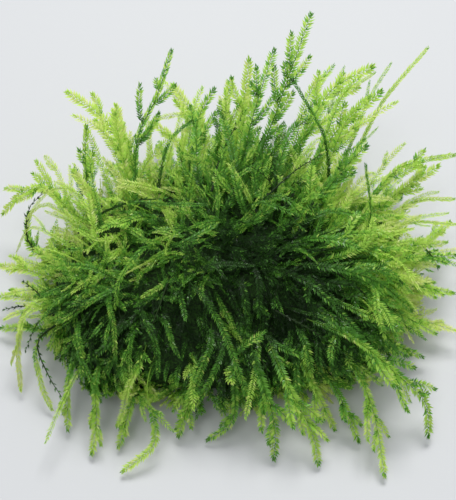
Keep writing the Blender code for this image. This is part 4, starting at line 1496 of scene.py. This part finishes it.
    def build(self, companions: Fronds, runners: Fronds, wardrobe: Wardrobe) -> list[bpy.types.Object]:
        """The cover, in pieces by where its fronds root.

        Args:
            companions: The fronds that grow beside the free shoots.
            runners: The long fronds that lie over the rest.
            wardrobe: The material of each finish.

        Returns:
            The pieces, riding on the clump.
        """
        rng = np.random.default_rng(SEED)
        grown = [(self.rooted(layer, rng), layer.sprigs, Cut.KITE) for layer in self.layers]
        grown.append((companions, self.companion_sprigs, Cut.KITE))
        grown.append((runners, self.runner_sprigs, Cut.FOLDED))
        foliages = {name: Foliage() for name in self.zones(companions)}
        for fronds, (fewest, most), cut in grown:
            for name, mask in self.zones(fronds).items():
                main = fronds.picked(mask)
                sprigs = self.sprigging.grow(main, rng.integers(fewest, most + 1, len(main)), rng)
                for part in (main, sprigs):
                    self.leafing.stem(part, foliages[name])
                    self.leafing.leaf(part, foliages[name], cut, rng)
        pieces = []
        for name, foliage in foliages.items():
            piece = foliage.make(f"mat_{name}_leaves", wardrobe)
            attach(piece, ROOT)
            pieces.append(piece)
        return pieces


@dataclass(frozen=True)
class OldStems:
    """Dark old stems with a few small leaves, which weave through the young ones."""

    cover: Cover
    leafing: Leafing = Leafing(
        length=0.9 * MM, angle=40.0, pitch=1.6 * MM, bud_leaves=3, stem_radius=0.2 * MM
    )
    thickness: float = 1.25
    size_range: tuple[float, float] = (0.8, 1.2)
    tone: float = 0.16
    tone_variety: float = 0.05
    loose: Layer = Layer(60, 13 * MM, 1.6, 3 * MM, (0.0, 3 * MM), 1.0, 0.0, 1.0, (0, 0))
    routes: tuple[Sequence[tuple[float, float, float]], ...] = (
        [(-31, 2, 14), (-41, 10, 11), (-42, 14, 16), (-40.5, 17, 18), (-37, 18.5, 20)],
        [(-27, 12, 20), (-21, 11, 25.5), (-16, 10.5, 27.5), (-11, 10, 28)],
        [(-12, -6, 24), (-15, -14, 21), (-19, -20, 15)],
        [(14, -2, 26), (22, -6, 24), (30, -10, 17)],
        [(8, -12, 23), (16, -16, 21), (24, -20, 16)],
        [(6, 10, 28), (12, 16, 29), (18, 22, 27)],
        [(-4, 12, 28), (-2, 20, 30), (2, 27, 33)],
        [(-33, -6, 14), (-38, -8, 12), (-41, -12, 7)],
        [(-34, -8, 12), (-37, -4, 13), (-39, -1.5, 13), (-42, 1.5, 12)],
        [(-35, -4, 11), (-39.5, -3, 9.5), (-42.5, -2, 8), (-47, -1, 5)],
        [(-34, -8, 12), (-38, -12, 11), (-36, -17, 7), (-33, -21, 4)],
        [(35, 4, 11), (36.5, 7.5, 13), (38.5, 9, 13.5), (40.5, 7.5, 12.5), (42, 5, 11)],
    )

    def build(self, wardrobe: Wardrobe) -> bpy.types.Object:
        """All the old stems, as one piece.

        Args:
            wardrobe: The material of each finish.

        Returns:
            The piece, riding on the clump.
        """
        rng = np.random.default_rng(SEED + 1)
        routes = [np.array(route) * MM for route in self.routes]
        chosen = np.stack([even_points(route, self.cover.stations) for route in routes])
        grown = self.cover.rooted(self.loose, rng).lines
        lines = np.concatenate([chosen, grown])
        count = len(lines)
        stems = Fronds(
            lines,
            np.tile(UP, (count, 1)),
            rng.uniform(*self.size_range, count),
            rng.normal(self.tone, self.tone_variety, count),
            np.zeros(count),
            np.zeros(count),
        )
        foliage = Foliage()
        self.leafing.stem(stems, foliage, self.thickness)
        self.leafing.leaf(stems, foliage, Cut.KITE, rng)
        piece = foliage.make("old_stems", wardrobe)
        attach(piece, ROOT)
        return piece


@dataclass(frozen=True)
class MatCore:
    """The dark mat of matted old stems, of which only the deep gaps show; its near-black colour also paints
    their shade.
    """

    mound: Mound
    inset: float = 1.6 * MM  # of its surface under the mound's
    detail: int = 6  # subdivisions of the ball that it is shaped from
    tangle: float = 0.9 * MM  # height of the tangled strands
    tangle_rate: float = 0.55 / MM
    tangle_octaves: int = 3
    tolerance: float = 0.001 * MM  # of the cut

    def build(self, material: bpy.types.Material) -> bpy.types.Object:
        """The core, cut flat underneath, in place of the mat's solid.

        Args:
            material: The look of the tangle.

        Returns:
            The piece, riding on the clump.
        """
        shape = bmesh.new()
        bmesh.ops.create_icosphere(shape, subdivisions=self.detail, radius=1)
        directions = unit(np.array([vertex.co for vertex in shape.verts]))
        for vertex, point in zip(shape.verts, self.mound.at(directions, self.inset)):
            strands = noise.turbulence(Vector(point) * self.tangle_rate, self.tangle_octaves, True)
            vertex.co = Vector(point) + vertex.co.normalized() * self.tangle * (strands - 1)
        cut = bmesh.ops.bisect_plane(
            shape,
            geom=[*shape.verts, *shape.edges, *shape.faces],
            dist=self.tolerance,
            plane_co=(0, 0, 0),
            plane_no=(0, 0, -1),
            clear_outer=True,
        )
        rim = [edge for edge in cut["geom_cut"] if isinstance(edge, bmesh.types.BMEdge)]
        bmesh.ops.contextual_create(shape, geom=rim)
        bmesh.ops.recalc_face_normals(shape, faces=shape.faces)
        mesh = bpy.data.meshes.new("mat_core")
        shape.to_mesh(mesh)
        shape.free()
        mesh.shade_smooth()
        mesh.materials.append(material)
        piece = link(bpy.data.objects.new("mat_core", mesh))
        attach(piece, ROOT)
        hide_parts(MAT_NODE)
        return piece


class Wire:
    """A socket of a node, which sums and products can be written with."""

    def __init__(self, sheet: Sheet, socket: bpy.types.NodeSocket) -> None:
        """Wraps a socket of a node on the sheet."""
        self.sheet = sheet
        self.socket = socket

    def other(self, name: str) -> Wire:
        """Another output of the same node."""
        return Wire(self.sheet, self.socket.node.outputs[name])

    def __add__(self, other: Wire | float) -> Wire:
        """The sum of two values."""
        return self.sheet.add("ShaderNodeMath", {"operation": "ADD"}, {0: self, 1: other})

    def __mul__(self, other: Wire | float) -> Wire:
        """The product of two values."""
        return self.sheet.add("ShaderNodeMath", {"operation": "MULTIPLY"}, {0: self, 1: other})

    __radd__ = __add__
    __rmul__ = __mul__


class Sheet:
    """The nodes of one material."""

    def __init__(self, name: str) -> None:
        """Starts a new material without nodes.

        Args:
            name: The material's name.
        """
        self.material = bpy.data.materials.new(name)
        self.material.use_nodes = True
        self.tree = self.material.node_tree
        self.tree.nodes.clear()

    def add(
        self,
        kind: str,
        settings: Mapping[str, Any] | None = None,
        inputs: Mapping[str | int, Any] | None = None,
        out: str | int | None = 0,
    ) -> Wire | None:
        """Adds a node.

        Args:
            kind: The node's type.
            settings: Its properties; "stops" are a ramp's places and colours.
            inputs: The values of its sockets, or the wires that feed them.
            out: The output to return, if it has one.

        Returns:
            That output.
        """
        node = self.tree.nodes.new(kind)
        for name, value in (settings or {}).items():
            if name == "stops":
                self.set_stops(node.color_ramp, value)
            else:
                setattr(node, name, value)
        for name, value in (inputs or {}).items():
            if isinstance(value, Wire):
                self.tree.links.new(value.socket, node.inputs[name])
            else:
                node.inputs[name].default_value = value
        return None if out is None else Wire(self, node.outputs[out])

    @staticmethod
    def set_stops(ramp: bpy.types.ColorRamp, stops: Mapping[float, Colour]) -> None:
        """Gives a ramp its places and colours.

        Args:
            ramp: The ramp of a new node.
            stops: The colour at each place, from 0 to 1.
        """
        while len(ramp.elements) < len(stops):
            ramp.elements.new(0.5)
        for element, (place, colour) in zip(ramp.elements, stops.items()):
            element.position = place
            element.color = (*colour, 1)

    def finished(self, surface: Wire) -> bpy.types.Material:
        """The material, with the surface as its result."""
        self.add("ShaderNodeOutputMaterial", inputs={"Surface": surface}, out=None)
        return self.material


# The colours of the leaves from deep green by green, lime and straw to cream.
LEAF_TONES = {
    0.0: (0.006, 0.019, 0.004),
    0.25: (0.026, 0.085, 0.011),
    0.45: (0.088, 0.265, 0.028),
    0.6: (0.235, 0.500, 0.062),
    0.72: (0.500, 0.745, 0.125),
    0.86: (0.680, 0.830, 0.215),
    1.0: (0.840, 0.860, 0.440),
}
# Painted shade at the foot of each leaf and stem, where they crowd together, rising to painted light at the
# tip; it multiplies their colour.
LEAF_PAINTED_SHADE = {0.0: (0.34, 0.40, 0.30), 0.3: (0.80, 0.82, 0.76), 1.0: (1.16, 1.16, 1.14)}
# The colours of the stems over the same tones: bare and dark first, then with their leaves' tones.
STEM_TONES = {
    0.0: (0.010, 0.022, 0.005),
    0.2: (0.022, 0.050, 0.008),
    0.5: (0.070, 0.220, 0.020),
    0.7: (0.340, 0.580, 0.060),
    0.9: (0.520, 0.660, 0.120),
}


@dataclass(frozen=True)
class LeafFinish:
    """Thin wet leaves or stems, whose colour follows their tone and which light shines through."""

    slot: Finish
    glow: Colour  # of the light that comes through
    thinness: float  # share of the light that comes through
    tones: Mapping[float, Colour] = field(default_factory=lambda: LEAF_TONES)
    roughness: float = 0.38
    tip_roughness: float = 0.18  # more at a leaf's tip
    shine: float = 0.2
    wetness: float = 0.45
    wet_roughness: float = 0.09
    wet_range: tuple[float, float] = (0.5, 0.6)  # of the noise, from dry to wet
    wet_scale: float = 24.0  # of the noise, on the colour map

    def make(self) -> bpy.types.Material:
        """The material.

        Returns:
            It, with the colour and its painted shade and light along each leaf, the wet spots and the light
            that comes through.
        """
        sheet = Sheet(self.slot.value)
        spot = sheet.add("ShaderNodeUVMap", {"uv_map": BAKE_MAP})
        tone = sheet.add("ShaderNodeSeparateXYZ", inputs={"Vector": spot}, out="X")
        along = tone.other("Y")
        colour = sheet.add("ShaderNodeValToRGB", {"stops": self.tones}, {"Fac": tone})
        # Painted shade at each leaf's foot and painted light at its tip, multiplied into the colour.
        shade = sheet.add("ShaderNodeValToRGB", {"stops": LEAF_PAINTED_SHADE}, {"Fac": along})
        base = sheet.add(
            "ShaderNodeMix",
            {"data_type": "RGBA", "blend_type": "MULTIPLY"},
            {0: 1.0, 6: colour, 7: shade},
            out=2,
        )
        drops = sheet.add(
            "ShaderNodeTexNoise", inputs={"Vector": spot, "Scale": self.wet_scale, "Detail": 1.0}
        )
        dry_end, wet_end = self.wet_range
        wet = sheet.add(
            "ShaderNodeMapRange", inputs={0: drops, 1: dry_end, 2: wet_end, 3: 0.0, 4: self.wetness}
        )
        leaf = sheet.add(
            "ShaderNodeBsdfPrincipled",
            inputs={
                "Base Color": base,
                "Roughness": self.roughness + self.tip_roughness * along,
                "Specular IOR Level": self.shine,
                "Coat Weight": wet,
                "Coat Roughness": self.wet_roughness,
            },
            out="BSDF",
        )
        glow = sheet.add("ShaderNodeBsdfTranslucent", inputs={"Color": (*self.glow, 1)})
        both = sheet.add("ShaderNodeMixShader", inputs={0: self.thinness, 1: leaf, 2: glow})
        return sheet.finished(both)


@dataclass(frozen=True)
class CoreFinish:
    """The dark wet tangle deep in the mat, whose near-black colour is its own dark together with painted
    shade.
    """

    # Near black: the old stems' own dark with painted shade of the deep gaps.
    deep: Colour = (0.004, 0.010, 0.002)
    strand: Colour = (0.020, 0.060, 0.008)
    strands_per_metre: float = 1500.0
    depth: float = 0.4 * MM
    roughness: float = 0.6
    strand_roughness: float = 0.3  # more on the strands
    shine: float = 0.15

    def make(self) -> bpy.types.Material:
        """The material.

        Returns:
            It, with pale strands in relief over the deep colour.
        """
        sheet = Sheet("core")
        place = sheet.add("ShaderNodeTexCoord", out="Object")
        tangle = sheet.add(
            "ShaderNodeTexNoise",
            inputs={
                "Vector": place,
                "Scale": self.strands_per_metre,
                "Detail": 4.0,
                "Roughness": 0.65,
                "Distortion": 1.4,
            },
        )
        colour = sheet.add(
            "ShaderNodeValToRGB", {"stops": {0.42: self.deep, 0.62: self.strand}}, {"Fac": tangle}
        )
        relief = sheet.add("ShaderNodeBump", inputs={"Distance": self.depth, "Height": tangle})
        surface = sheet.add(
            "ShaderNodeBsdfPrincipled",
            inputs={
                "Base Color": colour,
                "Roughness": self.roughness + self.strand_roughness * tangle,
                "Specular IOR Level": self.shine,
                "Normal": relief,
            },
            out="BSDF",
        )
        return sheet.finished(surface)


def make_wardrobe() -> dict[Finish, bpy.types.Material]:
    """The materials of leaves and stems.

    Returns:
        The material of each finish.
    """
    finishes = (
        LeafFinish(Finish.MAT, glow=(0.040, 0.140, 0.008), thinness=0.25, shine=0.1, wetness=0.15),
        LeafFinish(Finish.GREEN, glow=(0.180, 0.520, 0.045), thinness=0.32),
        LeafFinish(Finish.LIME, glow=(0.720, 0.930, 0.190), thinness=0.5),
        LeafFinish(Finish.STRAW, glow=(0.780, 0.880, 0.230), thinness=0.55),
        LeafFinish(Finish.STEM, (0.060, 0.120, 0.010), 0.12, STEM_TONES, roughness=0.5, wetness=0.1),
    )
    return {finish.slot: finish.make() for finish in finishes}


class Lamp(NamedTuple):
    """A soft square light that looks at the clump."""

    name: str
    place: tuple[float, float, float]
    size: float  # of its sides
    power: float  # watts
    colour: Colour


@dataclass(frozen=True)
class Studio:
    """The camera at the photograph's viewpoint, a pale floor, and soft light from above."""

    looked_at: Vector = field(default_factory=lambda: Vector((-0.8, 17.1, 0)) * MM)
    elevation: float = 56.0  # degrees that the camera looks down
    distance: float = 250 * MM
    focal_length: float = 1151.0  # pixels
    image_height: float = 500.0  # pixels
    sensor: float = 36.0  # millimetres, on the image's longer side
    floor_size: float = 3.0
    floor_colour: Colour = (0.462, 0.467, 0.482)
    floor_roughness: float = 0.6
    sky: Colour = (0.93, 0.97, 1.0)
    sky_strength: float = 0.6
    lamps: tuple[Lamp, ...] = (
        Lamp("window", (0.05, 0.33, 0.65), 0.3, 4.8, (1.0, 1.0, 0.98)),
        Lamp("ceiling", (-0.15, -0.25, 0.75), 0.25, 1.4, (1.0, 1.0, 1.0)),
    )

    def camera(self) -> None:
        """Adds the camera."""
        tilt = math.radians(self.elevation)
        ahead = Vector((0, math.cos(tilt), -math.sin(tilt)))
        camera = bpy.data.cameras.new("camera")
        camera.sensor_width = self.sensor
        camera.lens = self.focal_length / self.image_height * self.sensor
        camera.clip_start = 10 * MM
        viewer = link(bpy.data.objects.new("camera", camera))
        viewer.location = self.looked_at - ahead * self.distance
        viewer.rotation_euler = ahead.to_track_quat("-Z", "Y").to_euler()
        bpy.context.scene.camera = viewer

    def floor(self) -> None:
        """Adds the floor."""
        shape = bmesh.new()
        bmesh.ops.create_grid(shape, x_segments=1, y_segments=1, size=self.floor_size / 2)
        mesh = bpy.data.meshes.new("floor")
        shape.to_mesh(mesh)
        shape.free()
        sheet = Sheet("floor")
        surface = sheet.add(
            "ShaderNodeBsdfPrincipled",
            inputs={"Base Color": (*self.floor_colour, 1), "Roughness": self.floor_roughness},
            out="BSDF",
        )
        mesh.materials.append(sheet.finished(surface))
        link(bpy.data.objects.new("floor", mesh))

    @staticmethod
    def hang(lamp: Lamp) -> None:
        """Adds a light.

        Args:
            lamp: What it is like.
        """
        light = bpy.data.lights.new(lamp.name, "AREA")
        light.size = lamp.size
        light.energy = lamp.power
        light.color = lamp.colour
        holder = link(bpy.data.objects.new(lamp.name, light))
        holder.location = Vector(lamp.place)
        holder.rotation_euler = (-holder.location).to_track_quat("-Z", "Y").to_euler()

    def build(self) -> None:
        """Sets up the camera, the floor and the lights."""
        self.camera()
        self.floor()
        for lamp in self.lamps:
            self.hang(lamp)
        world = bpy.data.worlds.new("world")
        world.use_nodes = True
        background = world.node_tree.nodes["Background"]
        background.inputs["Color"].default_value = (*self.sky, 1)
        background.inputs["Strength"].default_value = self.sky_strength
        bpy.context.scene.world = world
        bpy.context.scene.view_settings.view_transform = "Standard"


def report(piece: bpy.types.Object) -> None:
    """Logs a finished piece."""
    log.info("%s: %d faces", piece.name, len(piece.data.polygons))


def main() -> None:
    """Loads the frame and dresses the clump round it."""
    logging.basicConfig(level=logging.INFO, format="%(message)s")
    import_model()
    Studio().build()
    wardrobe = make_wardrobe()
    mound = Mound()
    report(MatCore(mound).build(CoreFinish().make()))
    free = FreeShoots(mound)
    for name, shoot in SHOOTS.items():
        report(free.build(name, shoot, wardrobe))
    rng = np.random.default_rng(SEED + 2)
    companions = Companions(free).grow(rng)
    runners = LongFronds(free).grow(rng)
    cover = Cover(mound, Leafing())
    for piece in cover.build(companions, runners, wardrobe):
        report(piece)
    report(OldStems(cover).build(wardrobe))
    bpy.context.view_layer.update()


if __name__ == "__main__":
    main()
